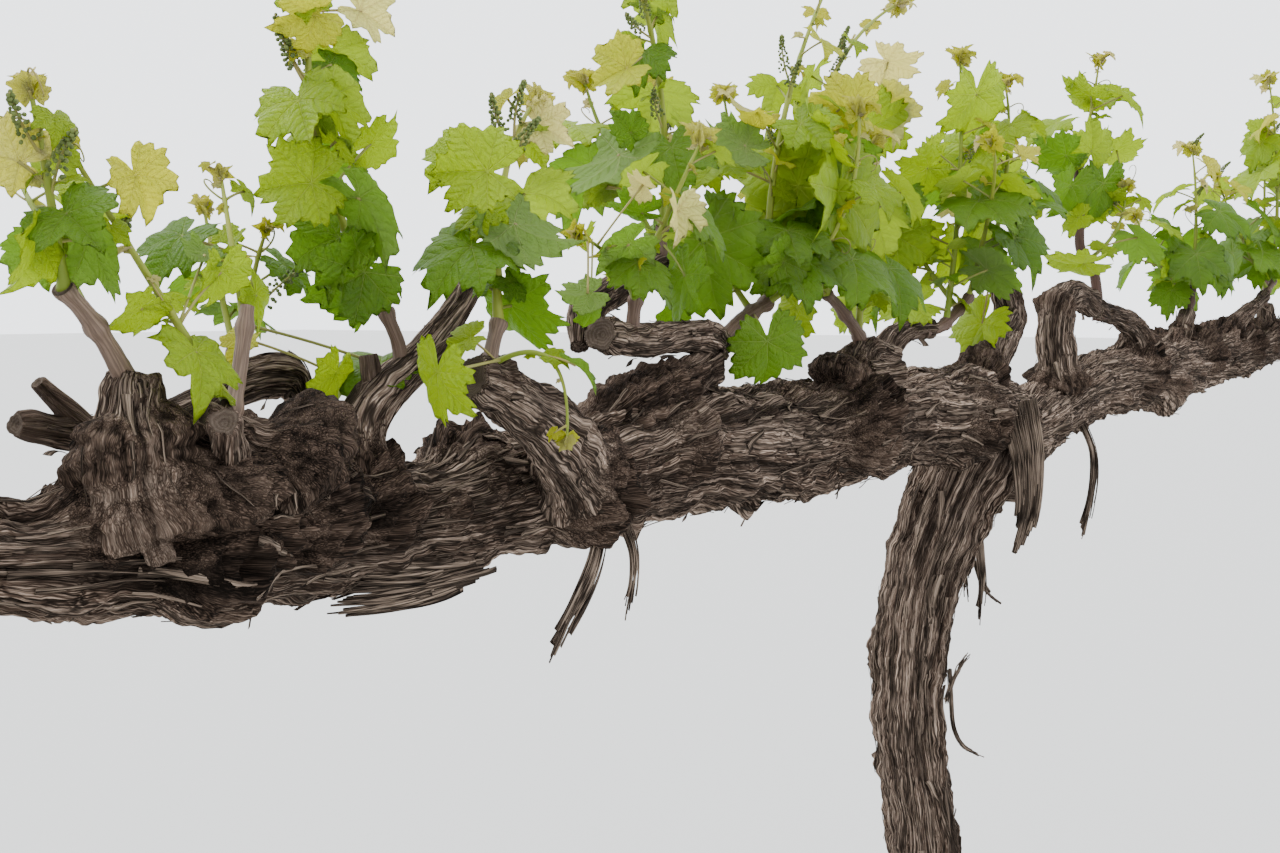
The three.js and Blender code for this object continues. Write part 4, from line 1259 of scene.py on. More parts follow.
def turn_in_solids(leaf, solid):
    """The turn that the solids gave this leaf, or None where they left it out."""
    for degrees in CAD_TURNS:
        normal = turned(leaf, degrees)
        across = np.cross(normal, leaf.midrib)
        rim = []
        for angle, share in LOBE_TIPS:
            flat = leaf.midrib * math.cos(math.radians(angle)) + across * math.sin(math.radians(angle))
            rim.append(leaf.end + (flat * share - normal * 0.2 * share**2) * leaf.reach)
        if all(solid.find_nearest(Vector(point))[3] < LEAF_MATCH for point in rim):
            return normal
    return None


def outline(angles, young):
    """A leaf's reach at each angle from its midrib, in degrees, with young leaves cut deeper."""
    angles = np.abs(angles)
    reach = np.full(len(angles), LEAF_HOLLOWS[-1][1])
    for i, (tip, high) in enumerate(LEAF_LOBES):
        for side in (-1, 1):
            if tip == 0 and side < 0:
                continue
            hollow, low = LEAF_HOLLOWS[i - 1] if side < 0 else LEAF_HOLLOWS[i]
            low *= 1 - 0.2 * young * (i < 3)
            inside = (angles >= min(tip, hollow)) & (angles <= max(tip, hollow))
            away = np.abs(angles - tip)[inside] / abs(hollow - tip)
            fall = 1 - away**2.4 if hollow > 160 else 1 - 0.25 * away - 0.75 * away**1.8
            reach[inside] = low + (high - low) * fall
    return reach


def leaf_blade(rim_count, young, fold, curl, rng):
    """The upper side of a toothed blade of length 1: its points, from its middle out to its rim."""
    index = np.arange(rim_count)
    angles = (index / rim_count * 360 + 180) % 360 - 180
    smooth = outline(angles, young)
    teeth = np.choose(index % 3, (1 + 0.4 * TOOTH_DEPTH, 1 - 0.1 * TOOTH_DEPTH, 1 - TOOTH_DEPTH))
    teeth = teeth * (1 + 0.02 * rng.normal(size=rim_count))
    rim = smooth * np.where(np.abs(angles) > 160, 1, teeth)
    reach = np.stack([*(share * smooth for share in LEAF_RINGS[:-1]), rim])
    turn = np.radians(angles)
    flat = np.stack([np.cos(turn) * reach, np.sin(turn) * reach], axis=-1)
    away = np.abs((np.abs(angles) + 25) % 50 - 25)
    far = np.linalg.norm(flat, axis=-1)
    x, y = flat[..., 0], flat[..., 1]
    high = PUCKER * far * np.sin(np.pi * away / 50) - 0.2 * far**2 + fold * np.abs(y)
    high += curl * y**2 - 0.4 * np.maximum(x, 0) ** 2 * rng.uniform(0, 1)
    high += 0.13 * far**3 * np.sin(turn * rng.integers(3, 6) + rng.uniform(0, 6))
    high += rng.normal() * 0.12 * x * y
    return np.concatenate([np.zeros((1, 3)), np.dstack([flat, high]).reshape(-1, 3)])


def leaf_faces(rim_count, rings):
    """The faces of a blade's upper sheet and of its underside, which share the rim."""
    turn = np.arange(rim_count)
    after = (turn + 1) % rim_count
    none = np.full(rim_count, -1)
    total = 1 + rim_count * rings
    top = [np.stack([none + 1, 1 + turn, 1 + after, none], axis=-1)]
    for ring in range(rings - 1):
        inner, outer = 1 + ring * rim_count, 1 + (ring + 1) * rim_count
        top.append(np.stack([inner + turn, outer + turn, outer + after, inner + after], axis=-1))
    top = np.concatenate(top)
    rim_start = 1 + (rings - 1) * rim_count
    under = np.where((top >= 0) & (top < rim_start), top + total, top)
    fan, bands = under[:rim_count], under[rim_count:]
    under = np.concatenate([fan[:, [0, 2, 1, 3]], bands[:, ::-1]])
    return np.concatenate([top, under])


LEAF_FACES = {count: leaf_faces(count, len(LEAF_RINGS)) for count in RIM_COUNTS}


def add_leaf(bags, leaf, normal, age, rng):
    """Adds a leaf's blade, as a thin closed solid, and its stalk."""
    young = AGES.index(age) / (len(AGES) - 1)
    fold = rng.uniform(0.0, 0.38) + 0.4 * young**1.5 * rng.uniform(0.5, 1.2)
    curl = rng.uniform(-0.5, 0.1) * (1 - young)
    leaf = leaf._replace(reach=leaf.reach * LEAF_SCALE)
    count = RIM_COUNTS[sum(leaf.reach <= reach for reach in RIM_REACHES)]
    top = leaf_blade(count, young, fold, curl, rng)
    under = top[:-count].copy()
    under[:, 2] -= LEAF_BODY / leaf.reach
    points = np.concatenate([top, under])
    basis = np.stack([leaf.midrib, np.cross(normal, leaf.midrib), normal])
    grain = points.copy()
    grain[:, 2] = rng.random()
    kinds = np.repeat([2 * AGES.index(age), 2 * AGES.index(age) + 1], len(LEAF_FACES[count]) // 2)
    look = (rng.random(), 0, 0, 1)
    bags["leaves"].add(leaf.end + points * leaf.reach @ basis, LEAF_FACES[count], grain, look, kinds)
    add_stalk(bags, leaf, normal, rng)


def add_stem(bag, points, radii, sides, rng):
    """Adds a thin green stem, with a tone of its own."""
    bag.add_tube(tube_grid(points, radii, sides), length_along(points), (rng.random(), 0, 0, 1))


def add_stalk(bags, leaf, normal, rng):
    """Adds the stalk that carries a leaf."""
    length = np.linalg.norm(leaf.end - leaf.root)
    bow = (leaf.root + leaf.end) / 2 + UP * length * rng.uniform(-0.02, 0.1)
    share = np.linspace(0, 1, 7)
    points = bow_curve(leaf.root, bow, leaf.end + leaf.midrib * 1.2 - normal * 0.5, share)
    thick = 0.6 + leaf.reach / 95
    radii = thick * (1 + 0.5 * np.exp(-share * length / 3) + 0.25 * np.exp((share - 1) * length / 4))
    add_stem(bags["stalks"], points, radii, 7, rng)


def age_at(share, rng):
    """A leaf's age class by how far up its shoot it grows."""
    ripe = 1.1 * share + rng.uniform(-0.12, 0.22)
    return AGES[int(np.searchsorted(AGE_LIMITS, ripe))]


def add_cane(bags, mass, rng):
    """A cane of last year's wood, swollen where its shoots stand, that starts inside its spur."""
    path = np.array(mass["path"], float)
    path = np.vstack([path[0] - 12 * unit(path[1] - path[0]), path])
    share = np.linspace(0, 1, 60)
    points = curve(path, share)
    radii = CANE_SHARE * along([mass["radii"][0], *mass["radii"]], share)
    for sprout in mass["shoots"]:
        apart = np.linalg.norm(points - curve(mass["path"], sprout.at)[0], axis=1)
        radii = radii + 1.8 * np.exp(-((apart / 5) ** 2))
    radii = radii * (1 + 0.35 * np.exp(-length_along(points) / 9))
    points += 0.5 * rng.normal() * np.sin(share * 9)[:, None]
    grid = tube_grid(points, radii, 26)
    ribs = noise(grid / (3, 3, 40), 9)
    middle = points[:, None]
    grid = middle + (grid - middle) * (1 + 0.05 * ribs)[..., None]
    bags["canes"].add_tube(grid, length_along(points), (mass.get("ripe", RIPENESS), rng.random(), 1, 1), 0, 1)


def add_shoot(bags, sprout, ends, rng):
    """A green shoot with its swollen nodes and a tuft of folded leaves at its tip."""
    share = np.linspace(0, 1, 48)
    points = bow_curve(*ends, share)
    length = length_along(points)
    radii = CANE_SHARE * along([sprout.thick, 0.35 * sprout.thick], share)
    for i in range(sprout.nodes):
        apart = (share - node_share(sprout, i)) * length[-1]
        radii = radii * (1 + 0.28 * np.exp(-((apart / 3.2) ** 2)))
    radii = radii * (1 + 0.45 * np.exp(-length / 6))
    add_stem(bags["shoots"], points, radii, 12, rng)
    tip, tangent = shoot_point(ends, 1.0)
    compass = rng.uniform(0, 2 * np.pi)
    for i in range(4):
        reach = sprout.leaf * (0.3 - 0.05 * i)
        compass += NEXT_TURN
        out = np.array((math.cos(compass), math.sin(compass), 0.1))
        midrib = unit(tangent + out * (0.6 - 0.12 * i))
        root = tip - tangent * (10 - 2 * i)
        normal = unit(-out + midrib * (out @ midrib))
        leaf = Leaf(root, out, root + midrib * reach * 0.3, midrib, normal, 0, reach, 1)
        add_leaf(bags, leaf, normal, "young" if i < 3 else "tip", rng)


def add_tendril(bags, root, way, length, rng):
    """A thin tendril that curls to its end."""
    share = np.linspace(0, 1, 16)
    side = unit(np.cross(way, (0.3, 0.2, 1)))
    turn = 1.2 * share + rng.uniform(2, 4.5) * share**3
    forward = np.cumsum(np.cos(turn)) / 16 * length
    aside = np.cumsum(np.sin(turn)) / 16 * length * rng.choice((-1, 1))
    points = root + way * forward[:, None] + (side * 0.4 + UP * 0.7) * aside[:, None]
    add_stem(bags["stalks"], points, 0.75 - 0.4 * share, 6, rng)


def add_buds(bags, root, way, length, rng):
    """A young cluster of flower buds, in tight whorls round its stalk."""
    share = np.linspace(0, 1, 8)
    side = unit(np.cross(way, (0.9, 0.1, 0.2)))
    front = np.cross(side, way)
    points = root + way * (share * length)[:, None] + side * (3 * np.sin(share * 3))[:, None]
    add_stem(bags["stalks"], points, 1.1 - 0.6 * share, 6, rng)
    for i in range(BUD_COUNT):
        share = i / BUD_COUNT
        up = BARE_STALK + (1 - BARE_STALK) * share
        middle = root + way * up * length + side * 3 * math.sin(up * 3)
        turn = i * NEXT_TURN
        spread = (4.6 - 3.6 * share) * length / CLUSTER_LENGTH * rng.uniform(0.75, 1.15)
        centre = middle + (side * math.cos(turn) + front * math.sin(turn)) * spread
        points = centre + BUD_POINTS * rng.uniform(1.0, 1.5)
        bags["buds"].add(points, BUD_FACES, (i, 0, 0), (rng.random(), 0, 0, 1))


def bud_shape():
    """A small round bud: points and faces."""
    turn = np.linspace(0, 2 * np.pi, 6, endpoint=False)
    rings = []
    for lift in np.radians((45, 0, -45)):
        wide, high = math.cos(lift), math.sin(lift)
        rings.append(np.stack([np.cos(turn) * wide, np.sin(turn) * wide, np.full(6, high)], axis=-1))
    points = np.concatenate([*rings, [[0, 0, 1], [0, 0, -1]]])
    return points, np.concatenate([grid_faces(3, 6), end_faces(3, 6)])


BUD_POINTS, BUD_FACES = bud_shape()


def solid_tree(frame, node):
    """A node's solid, in millimetres, for finding the nearest point on it."""
    mesh = frame["nodes"][node].data
    points = [vertex.co / MM for vertex in mesh.vertices]
    return BVHTree.FromPolygons(points, [tuple(face.vertices) for face in mesh.polygons])


def grow_mass(bags, name, mass, solid, box, rng):
    """A cane with its shoots, and the leaves, buds and tendrils on them."""
    roll = dice(mass["seed"])
    add_cane(bags, mass, rng)
    for sprout in mass["shoots"]:
        ends = bezier_of(mass, sprout)
        add_shoot(bags, sprout, ends, rng)
        for step_number, leaf in enumerate(leaf_places(sprout, ends, roll)):
            normal = turn_in_solids(leaf, solid)
            if normal is None:
                end = leaf.root + (leaf.end - leaf.root) * LEFT_OUT_SCALE
                leaf = leaf._replace(reach=leaf.reach * LEFT_OUT_SCALE, end=end)
                normal = turned(leaf, 0)
            if name in SHOWN_LEAVES:
                leaf = leaf._replace(reach=leaf.reach * SPARE_SCALE * (1.1 - 0.4 * leaf.share))
            add_leaf(bags, leaf, normal, age_at(leaf.share, rng), rng)
            add_side_growth(bags, sprout, ends, leaf, step_number, rng)
        fill_out(bags, sprout, ends, mass.get("fill", FILL), box, rng)
    for shown in SHOWN_LEAVES.get(name, ()):
        add_shown(bags, mass, shown, rng)
    for tip in SHOWN_BUDS.get(name, ()):
        root = nearest_stem(mass, tip - UP * CLUSTER_LENGTH)
        add_buds(bags, root, unit(tip - root), np.linalg.norm(tip - root), rng)


def nearest_stem(mass, place):
    """The point on a mass's shoots or its cane that is nearest to a place."""
    spots = [shoot_point(bezier_of(mass, sprout), share)[0] for sprout in mass["shoots"]
             for share in np.linspace(0.05, 0.95, 30)]
    spots = np.array([*spots, *curve(mass["path"], np.linspace(0.6, 1, 8))])
    return spots[np.argmin(np.linalg.norm(spots - place, axis=1))]


def look_ways():
    """The camera's ways ahead, to the right and up."""
    level = np.array((math.cos(LOOK_YAW), math.sin(LOOK_YAW), 0))
    right = np.array((math.sin(LOOK_YAW), -math.cos(LOOK_YAW), 0))
    ahead = level * math.cos(LOOK_DOWN) - UP * math.sin(LOOK_DOWN)
    return ahead, right, level * math.sin(LOOK_DOWN) + UP * math.cos(LOOK_DOWN)


def line_of_sight(across, down):
    """The way from the camera through a pixel of the photograph, as long as it is to a depth of 1."""
    ahead, right, above = look_ways()
    return ahead + right * (across - MIDDLE_ACROSS) / FOCAL + above * (MIDDLE_DOWN - down) / FOCAL


def nearest_on_sight(spots, sight):
    """How far away the spot is that is nearest to a line of sight, and how far beside it."""
    away = (spots - EYE) @ sight
    beside = np.linalg.norm(spots - EYE - away[:, None] * sight, axis=1)
    return away[beside.argmin()], beside.min()


def leaf_in_view(mass, shown):
    """Where a blade of the photograph starts and how long it is, as near to its depth as its stems allow."""
    way = math.radians(shown.way)
    aside = STALK_END * shown.reach
    sight = line_of_sight(shown.across + aside * math.cos(way), shown.down - aside * math.sin(way))
    slant = np.linalg.norm(sight)
    sight = sight / slant
    shares = np.linspace(0.05, 1, 60)
    shoots = [bow_curve(*bezier_of(mass, sprout), shares) for sprout in mass["shoots"]]
    spots = np.concatenate([curve(mass["path"], np.linspace(0.3, 1, 20)), *shoots])
    stem, beside = nearest_on_sight(spots, sight)
    limit = max(HANGING_REACH, beside + HANGING_SLACK)
    # The depth's last digit keeps the leaves of one stem apart
    near = stem - (UNDER_GAP if shown.turn > 90 else UPPER_GAP) - abs(shown.depth) % 10
    wanted = (shown.depth - EYE[1]) / sight[1]
    for share in np.linspace(1, 0, 21):
        away = near + share * (wanted - near)
        if np.linalg.norm(spots - EYE - away * sight, axis=1).min() <= limit:
            break
    return np.round(EYE + away * sight), round(BLADE_SHARE * shown.reach * away / slant / FOCAL)


def add_shown(bags, mass, shown, rng):
    """Adds a leaf that faces the camera as it does in the photograph, on the stem that is nearest."""
    place, reach = leaf_in_view(mass, shown)
    ahead = unit(place - EYE)
    right = unit(np.cross(ahead, UP))
    way = math.radians(shown.way)
    midrib = right * math.cos(way) + np.cross(right, ahead) * math.sin(way)
    midrib = unit(midrib + ahead * rng.uniform(-0.3, 0.3))
    face = unit(-ahead + midrib * (ahead @ midrib))
    turn = math.radians(shown.turn) * rng.choice((-1, 1))
    face = face * math.cos(turn) + np.cross(midrib, face) * math.sin(turn)
    root = nearest_stem(mass, place - midrib * 0.3 * reach - UP * 12)
    leaf = Leaf(root, midrib, place, midrib, face, 0, reach / LEAF_SCALE, 0.5)
    add_leaf(bags, leaf, face, shown.age, rng)


def fill_out(bags, sprout, ends, count, box, rng):
    """More leaves along a shoot, as large as its others, that stay within the mass's own box."""
    low, high = box
    for _ in range(count):
        share = rng.uniform(0.02, 0.8)
        root, tangent = shoot_point(ends, share)
        reach = sprout.leaf * leaf_share(share) * rng.uniform(0.8, 1.2)
        leaf = leaf_place(root, tangent, share, rng.uniform(0, 2 * np.pi), reach, rng.uniform(0.1, 0.9),
                          rng.uniform(-0.9, 0.0), rng.uniform(-0.4, 0.4), rng.uniform(-40, 40))
        tip = leaf.end + leaf.midrib * reach
        if np.all(tip > low - 8) and np.all(tip < high + 8):
            add_leaf(bags, leaf, turned(leaf, 0), age_at(share, rng), rng)


def add_side_growth(bags, sprout, ends, leaf, step_number, rng):
    """What else grows at a leaf's root: a small second leaf, buds or a tendril."""
    compass = math.atan2(leaf.out[1], leaf.out[0])
    _, tangent = shoot_point(ends, min(leaf.share, LAST_NODE))
    for _ in range(rng.integers(1, 3)):
        reach = leaf.reach * rng.uniform(0.3, 0.62)
        spot = max(0.04, leaf.share - rng.uniform(0, 0.6) / sprout.nodes)
        root, _ = shoot_point(ends, min(spot, LAST_NODE))
        aside = compass + rng.uniform(-1.9, 1.9)
        small = leaf_place(root, tangent, leaf.share, aside, reach, rng.uniform(0.2, 1.0),
                           rng.uniform(-0.7, 0.3), rng.uniform(-0.4, 0.4), rng.uniform(-45, 45))
        add_leaf(bags, small, turned(small, 0), age_at(leaf.share + 0.25, rng), rng)
    up = unit(leaf.out * -0.6 + UP * 0.8)
    if step_number == 3 and sprout.nodes >= 6:
        add_buds(bags, leaf.root, up, CLUSTER_LENGTH, rng)
    elif step_number in (2, 4) and sprout.nodes >= 4 and rng.random() < 0.6:
        add_buds(bags, leaf.root, up, rng.uniform(22, 34), rng)
    elif step_number >= 1 and rng.random() < 0.4:
        add_tendril(bags, leaf.root, unit(-leaf.out + tangent * 0.8), rng.uniform(30, 60), rng)


# Materials

class Nodes:
    """Adds nodes to a material or a group, with their settings, numbers and links."""

    def __init__(self, tree):
        self.tree = tree

    def add(self, kind, inputs=None, **settings):
        """Adds a node. Its inputs are given by name or number, as values or as sockets to link."""
        node = self.tree.nodes.new(kind)
        for key, value in settings.items():
            setattr(node, key, value)
        for key, value in (inputs or {}).items():
            if isinstance(value, bpy.types.NodeSocket):
                self.tree.links.new(value, node.inputs[key])
            else:
                node.inputs[key].default_value = value
        return node

    def math(self, operation, *values):
        """A sum or other operation on numbers."""
        return self.add("ShaderNodeMath", dict(enumerate(values)), operation=operation).outputs[0]

    def vector(self, operation, first, second):
        """An operation on two vectors that gives a vector."""
        return self.add("ShaderNodeVectorMath", {0: first, 1: second}, operation=operation).outputs[0]

    def measure(self, operation, *vectors):
        """A number worked out from vectors."""
        inputs = dict(enumerate(vectors))
        return self.add("ShaderNodeVectorMath", inputs, operation=operation).outputs["Value"]

    def noise(self, place, scale, detail=2.0, output="Fac"):
        """Smooth noise: a number at each place, or a colour."""
        inputs = {"Vector": place, "Scale": scale, "Detail": detail}
        return self.add("ShaderNodeTexNoise", inputs).outputs[output]

    def cells(self, place, scale, output="Distance", feature="F1"):
        """Cells round scattered points: how far the point or the edge is, or each cell's own colour."""
        inputs = {"Vector": place, "Scale": scale}
        return self.add("ShaderNodeTexVoronoi", inputs, feature=feature).outputs[output]

    def mix(self, share, first, second):
        """A mix of two colours."""
        return self.add("ShaderNodeMix", {"Factor": share, 6: first, 7: second}, data_type="RGBA").outputs[2]

    def ease(self, start, end, value):
        """Goes smoothly from 0 to 1 as the value goes from the start to the end."""
        inputs = {"Value": value, "From Min": start, "From Max": end}
        node = self.add("ShaderNodeMapRange", inputs, interpolation_type="SMOOTHSTEP")
        return node.outputs[0]


def new_group(name, inputs, outputs):
    """An empty node group with its named sockets: its nodes, its input node and its output node."""
    tree = bpy.data.node_groups.new(name, "ShaderNodeTree")
    for socket, kind, value in inputs:
        made = tree.interface.new_socket(socket, in_out="INPUT", socket_type=kind)
        if value is not None:
            made.default_value = value
    for socket, kind in outputs:
        tree.interface.new_socket(socket, in_out="OUTPUT", socket_type=kind)
    nodes = Nodes(tree)
    return nodes, nodes.add("NodeGroupInput"), nodes.add("NodeGroupOutput")


def make_streaks_group():
    """Long plates and fibres along the grain of wood, with cracks between them, and their bump."""
    inputs = (("Grain", "NodeSocketVector", None), ("Width", "NodeSocketFloat", 5.0),
              ("Length", "NodeSocketFloat", 60.0), ("Depth", "NodeSocketFloat", 0.5))
    outputs = (("Fine", "NodeSocketFloat"), ("Broad", "NodeSocketFloat"), ("Crack", "NodeSocketFloat"),
               ("Normal", "NodeSocketVector"))
    nodes, given, result = new_group("Grain streaks", inputs, outputs)
    size = nodes.add("ShaderNodeCombineXYZ", {0: given.outputs["Width"], 1: given.outputs["Width"],
                                              2: given.outputs["Length"]}).outputs[0]
    place = nodes.vector("DIVIDE", given.outputs["Grain"], size)
    bend = nodes.noise(place, 1.3, 3.0, "Color")
    place = nodes.vector("ADD", place, nodes.vector("MULTIPLY", bend, (0.8, 0.8, 0.12)))
    fibre = nodes.vector("MULTIPLY", place, (3.3, 3.3, 2.2))
    edge = nodes.cells(place, 1.0, feature="DISTANCE_TO_EDGE")
    plate = nodes.cells(place, 1.0, "Color")
    split = nodes.cells(fibre, 1.0, feature="DISTANCE_TO_EDGE")
    grit = nodes.noise(fibre, 1.6, 4.0)
    broad = nodes.noise(place, 0.25, 3.0)
    own = nodes.add("ShaderNodeSeparateColor", {0: plate}).outputs[0]
    gape = nodes.math("MULTIPLY_ADD", nodes.ease(0.35, 0.75, broad), 0.3, 0.08)
    crack = nodes.math("SUBTRACT", 1.0, nodes.ease(0.1, 1.0, nodes.math("DIVIDE", edge, gape)))
    fine = nodes.math("MULTIPLY_ADD", nodes.ease(0.0, 0.3, split), 0.6, nodes.math("MULTIPLY", grit, 0.55))
    high = nodes.math("ADD", nodes.ease(0.0, 0.4, edge), nodes.math("MULTIPLY", own, 0.7))
    high = nodes.math("ADD", high, nodes.math("MULTIPLY", fine, 0.5))
    bump = nodes.add("ShaderNodeBump", {"Strength": 1.0, "Distance": given.outputs["Depth"], "Height": high})
    shade = nodes.math("MULTIPLY", nodes.ease(0.3, 0.7, broad), 0.4)
    tone = nodes.math("MULTIPLY_ADD", own, 0.6, shade)
    for value, socket in ((fine, "Fine"), (tone, "Broad"), (crack, "Crack"), (bump.outputs[0], "Normal")):
        nodes.tree.links.new(value, result.inputs[socket])
    return nodes.tree


def make_veins_group():
    """A leaf's veins: its main ones and their branches as masks, with a bump."""
    inputs = (("Place", "NodeSocketVector", None), ("Relief", "NodeSocketFloat", 0.3))
    outputs = (("Main", "NodeSocketFloat"), ("Side", "NodeSocketFloat"), ("Mottle", "NodeSocketFloat"),
               ("Normal", "NodeSocketVector"))
    nodes, given, result = new_group("Leaf veins", inputs, outputs)
    split = nodes.add("ShaderNodeSeparateXYZ", {0: given.outputs["Place"]})
    half = nodes.math("ABSOLUTE", split.outputs[1])
    flat = nodes.add("ShaderNodeCombineXYZ", {0: split.outputs[0], 1: half}).outputs[0]
    nearest, run = 9.0, 0.0
    for tip, _ in LEAF_LOBES:
        turn = math.radians(tip)
        aside = nodes.measure("DOT_PRODUCT", flat, (-math.sin(turn), math.cos(turn), 0))
        ahead = nodes.measure("DOT_PRODUCT", flat, (math.cos(turn), math.sin(turn), 0))
        behind = nodes.math("MULTIPLY", nodes.math("LESS_THAN", ahead, 0.0), 9.0)
        apart = nodes.math("ADD", nodes.math("ABSOLUTE", aside), behind)
        closer = nodes.math("LESS_THAN", apart, nearest)
        run = nodes.add("ShaderNodeMix", {"Factor": closer, 2: run, 3: ahead}).outputs[0]
        nearest = nodes.math("MINIMUM", apart, nearest)
    wide = nodes.math("MULTIPLY_ADD", run, -0.014, 0.021)
    main = nodes.math("SUBTRACT", 1.0, nodes.ease(0.2, 1.0, nodes.math("DIVIDE", nearest, wide)))
    slant = nodes.math("SUBTRACT", run, nodes.math("MULTIPLY", nearest, 0.9))
    wobble = nodes.noise(given.outputs["Place"], 3.0)
    branch = nodes.math("PINGPONG", nodes.math("MULTIPLY_ADD", wobble, 0.2, slant), 0.075)
    side = nodes.math("SUBTRACT", 1.0, nodes.ease(0.001, 0.01, branch))
    fine = nodes.cells(given.outputs["Place"], 26.0)
    mottle = nodes.noise(given.outputs["Place"], 5.0, 4.0)
    low = nodes.math("MAXIMUM", main, nodes.math("MULTIPLY", side, 0.6))
    dents = nodes.math("MULTIPLY", fine, -0.7)
    quilt = nodes.math("MULTIPLY_ADD", nodes.ease(0.0, 0.068, branch), 0.5, dents)
    high = nodes.math("SUBTRACT", quilt, low)
    bump = nodes.add("ShaderNodeBump", {"Strength": 1.0, "Distance": given.outputs["Relief"], "Height": high})
    for value, socket in ((main, "Main"), (side, "Side"), (mottle, "Mottle"), (bump.outputs[0], "Normal")):
        nodes.tree.links.new(value, result.inputs[socket])
    return nodes.tree


def new_material(name):
    """A material with only its output: the material, its nodes, and the output."""
    material = bpy.data.materials.new(name)
    material.use_nodes = True
    material.node_tree.nodes.clear()
    nodes = Nodes(material.node_tree)
    return material, nodes, nodes.add("ShaderNodeOutputMaterial")


def read(nodes, name):
    """What a mesh keeps under a name at each point."""
    return nodes.add("ShaderNodeAttribute", attribute_name=name)


def own_number(nodes):
    """The number that each leaf, stem or cane has for itself."""
    return nodes.add("ShaderNodeSeparateColor", {0: read(nodes, "look").outputs["Color"]}).outputs[0]


def principled(nodes, colour, roughness, normal, specular):
    """A plain surface shader."""
    inputs = {"Base Color": colour, "Roughness": roughness, "Normal": normal, "Specular IOR Level": specular}
    return nodes.add("ShaderNodeBsdfPrincipled", inputs).outputs[0]


def add_streaks(nodes, group, width, length, depth):
    """Places the streaks group along a mesh's grain."""
    grain = read(nodes, "grain").outputs["Vector"]
    inputs = {"Grain": grain, "Width": width, "Length": length, "Depth": depth * MM}
    return nodes.add("ShaderNodeGroup", inputs, node_tree=group)


def bark_material(name, streaks, colours, depth):
    """Bark with painted shade in its grooves, creases and cracks, pale grey on its fibres and on its strips'
    lifted edges, where that paleness is partly a painted highlight, and redder where it is younger.
    """
    dark, mid, pale, young_colour = colours
    material, nodes, output = new_material(name)
    grain = add_streaks(nodes, streaks, GRAIN_WIDTH, GRAIN_WIDTH * GRAIN_STRETCH, depth)
    fine, broad, crack, normal = (grain.outputs[socket] for socket in ("Fine", "Broad", "Crack", "Normal"))
    kept = read(nodes, "look")
    look = nodes.add("ShaderNodeSeparateColor", {0: kept.outputs["Color"]})
    crevice_shade, tone, young, contrast = look.outputs[0], look.outputs[1], look.outputs[2], kept.outputs["Alpha"]
    # The tone is paler where the strips lift, a painted highlight, and darker at their start, so the mix from
    # dark through middle to pale is partly the fibres' own colour and partly painted light.
    frayed_and_highlit = nodes.math("MULTIPLY_ADD", fine, 0.45, nodes.math("MULTIPLY", tone, 0.4))
    frayed_and_highlit = nodes.math("MULTIPLY_ADD", broad, 0.35, frayed_and_highlit)
    shade = nodes.mix(nodes.ease(0.15, 0.6, frayed_and_highlit), dark, mid)
    shade = nodes.mix(nodes.math("MULTIPLY", nodes.ease(0.42, 0.9, frayed_and_highlit), contrast), shade, pale)
    shade = nodes.mix(nodes.math("MULTIPLY", young, 0.7), shade, young_colour)
    # Painted shade: the cracks, weaker on young wood and swollen burls, and the look's first channel (grooves
    # and burl creases, with the dark of healed wounds too) are mixed to the dark colour.
    worn = nodes.math("SUBTRACT", contrast, nodes.math("MULTIPLY", young, 0.4))
    crack = nodes.math("MULTIPLY", crack, nodes.math("MULTIPLY", worn, 0.9))
    hollow = nodes.math("MAXIMUM", nodes.math("MULTIPLY", crevice_shade, 0.85), crack)
    shade = nodes.mix(hollow, shade, dark)
    nodes.tree.links.new(principled(nodes, shade, 0.95, normal, 0.04), output.inputs[0])
    return material


def cane_material(streaks):
    """Last year's wood: a smooth skin with pale streaks, or a dark one where it is riper."""
    first, second, streak, crack, dark_first, dark_second = CANE_COLOURS
    material, nodes, output = new_material("cane")
    grain = add_streaks(nodes, streaks, 2.2, 50, 0.25)
    shade = nodes.mix(grain.outputs["Fine"], first, second)
    shade = nodes.mix(nodes.math("MULTIPLY", grain.outputs["Broad"], 0.5), shade, streak)
    shade = nodes.mix(nodes.math("MULTIPLY", grain.outputs["Crack"], 0.45), shade, crack)
    dark = nodes.mix(grain.outputs["Fine"], dark_first, dark_second)
    shade = nodes.mix(own_number(nodes), shade, dark)
    nodes.tree.links.new(principled(nodes, shade, 0.6, grain.outputs["Normal"], 0.2), output.inputs[0])
    return material


def pruned_material(streaks):
    """The worn wood of a pruning cut, in rings."""
    first, second, fibre = CUT_COLOURS
    material, nodes, output = new_material("pruned wood")
    grain = add_streaks(nodes, streaks, 1.6, 500, 0.5)
    place = nodes.vector("MULTIPLY", read(nodes, "grain").outputs["Vector"], (1, 1, 0))
    ring = nodes.math("PINGPONG", nodes.measure("LENGTH", place), 1.3)
    shade = nodes.mix(nodes.ease(0.2, 1.2, ring), first, second)
    shade = nodes.mix(nodes.math("MULTIPLY", grain.outputs["Fine"], 0.7), shade, fibre)
    nodes.tree.links.new(principled(nodes, shade, 0.95, grain.outputs["Normal"], 0.05), output.inputs[0])
    return material


def green_material(name, streaks, first, second, roughness):
    """A young green stem, stalk or bud, in two colours that run into each other."""
    material, nodes, output = new_material(name)
    grain = add_streaks(nodes, streaks, 3.0, 26, 0.1)
    share = nodes.math("ADD", nodes.math("MULTIPLY", grain.outputs["Broad"], 0.5),
                       nodes.math("MULTIPLY", own_number(nodes), 0.5))
    shade = nodes.mix(share, first, second)
    nodes.tree.links.new(principled(nodes, shade, roughness, grain.outputs["Normal"], 0.2), output.inputs[0])
    return material


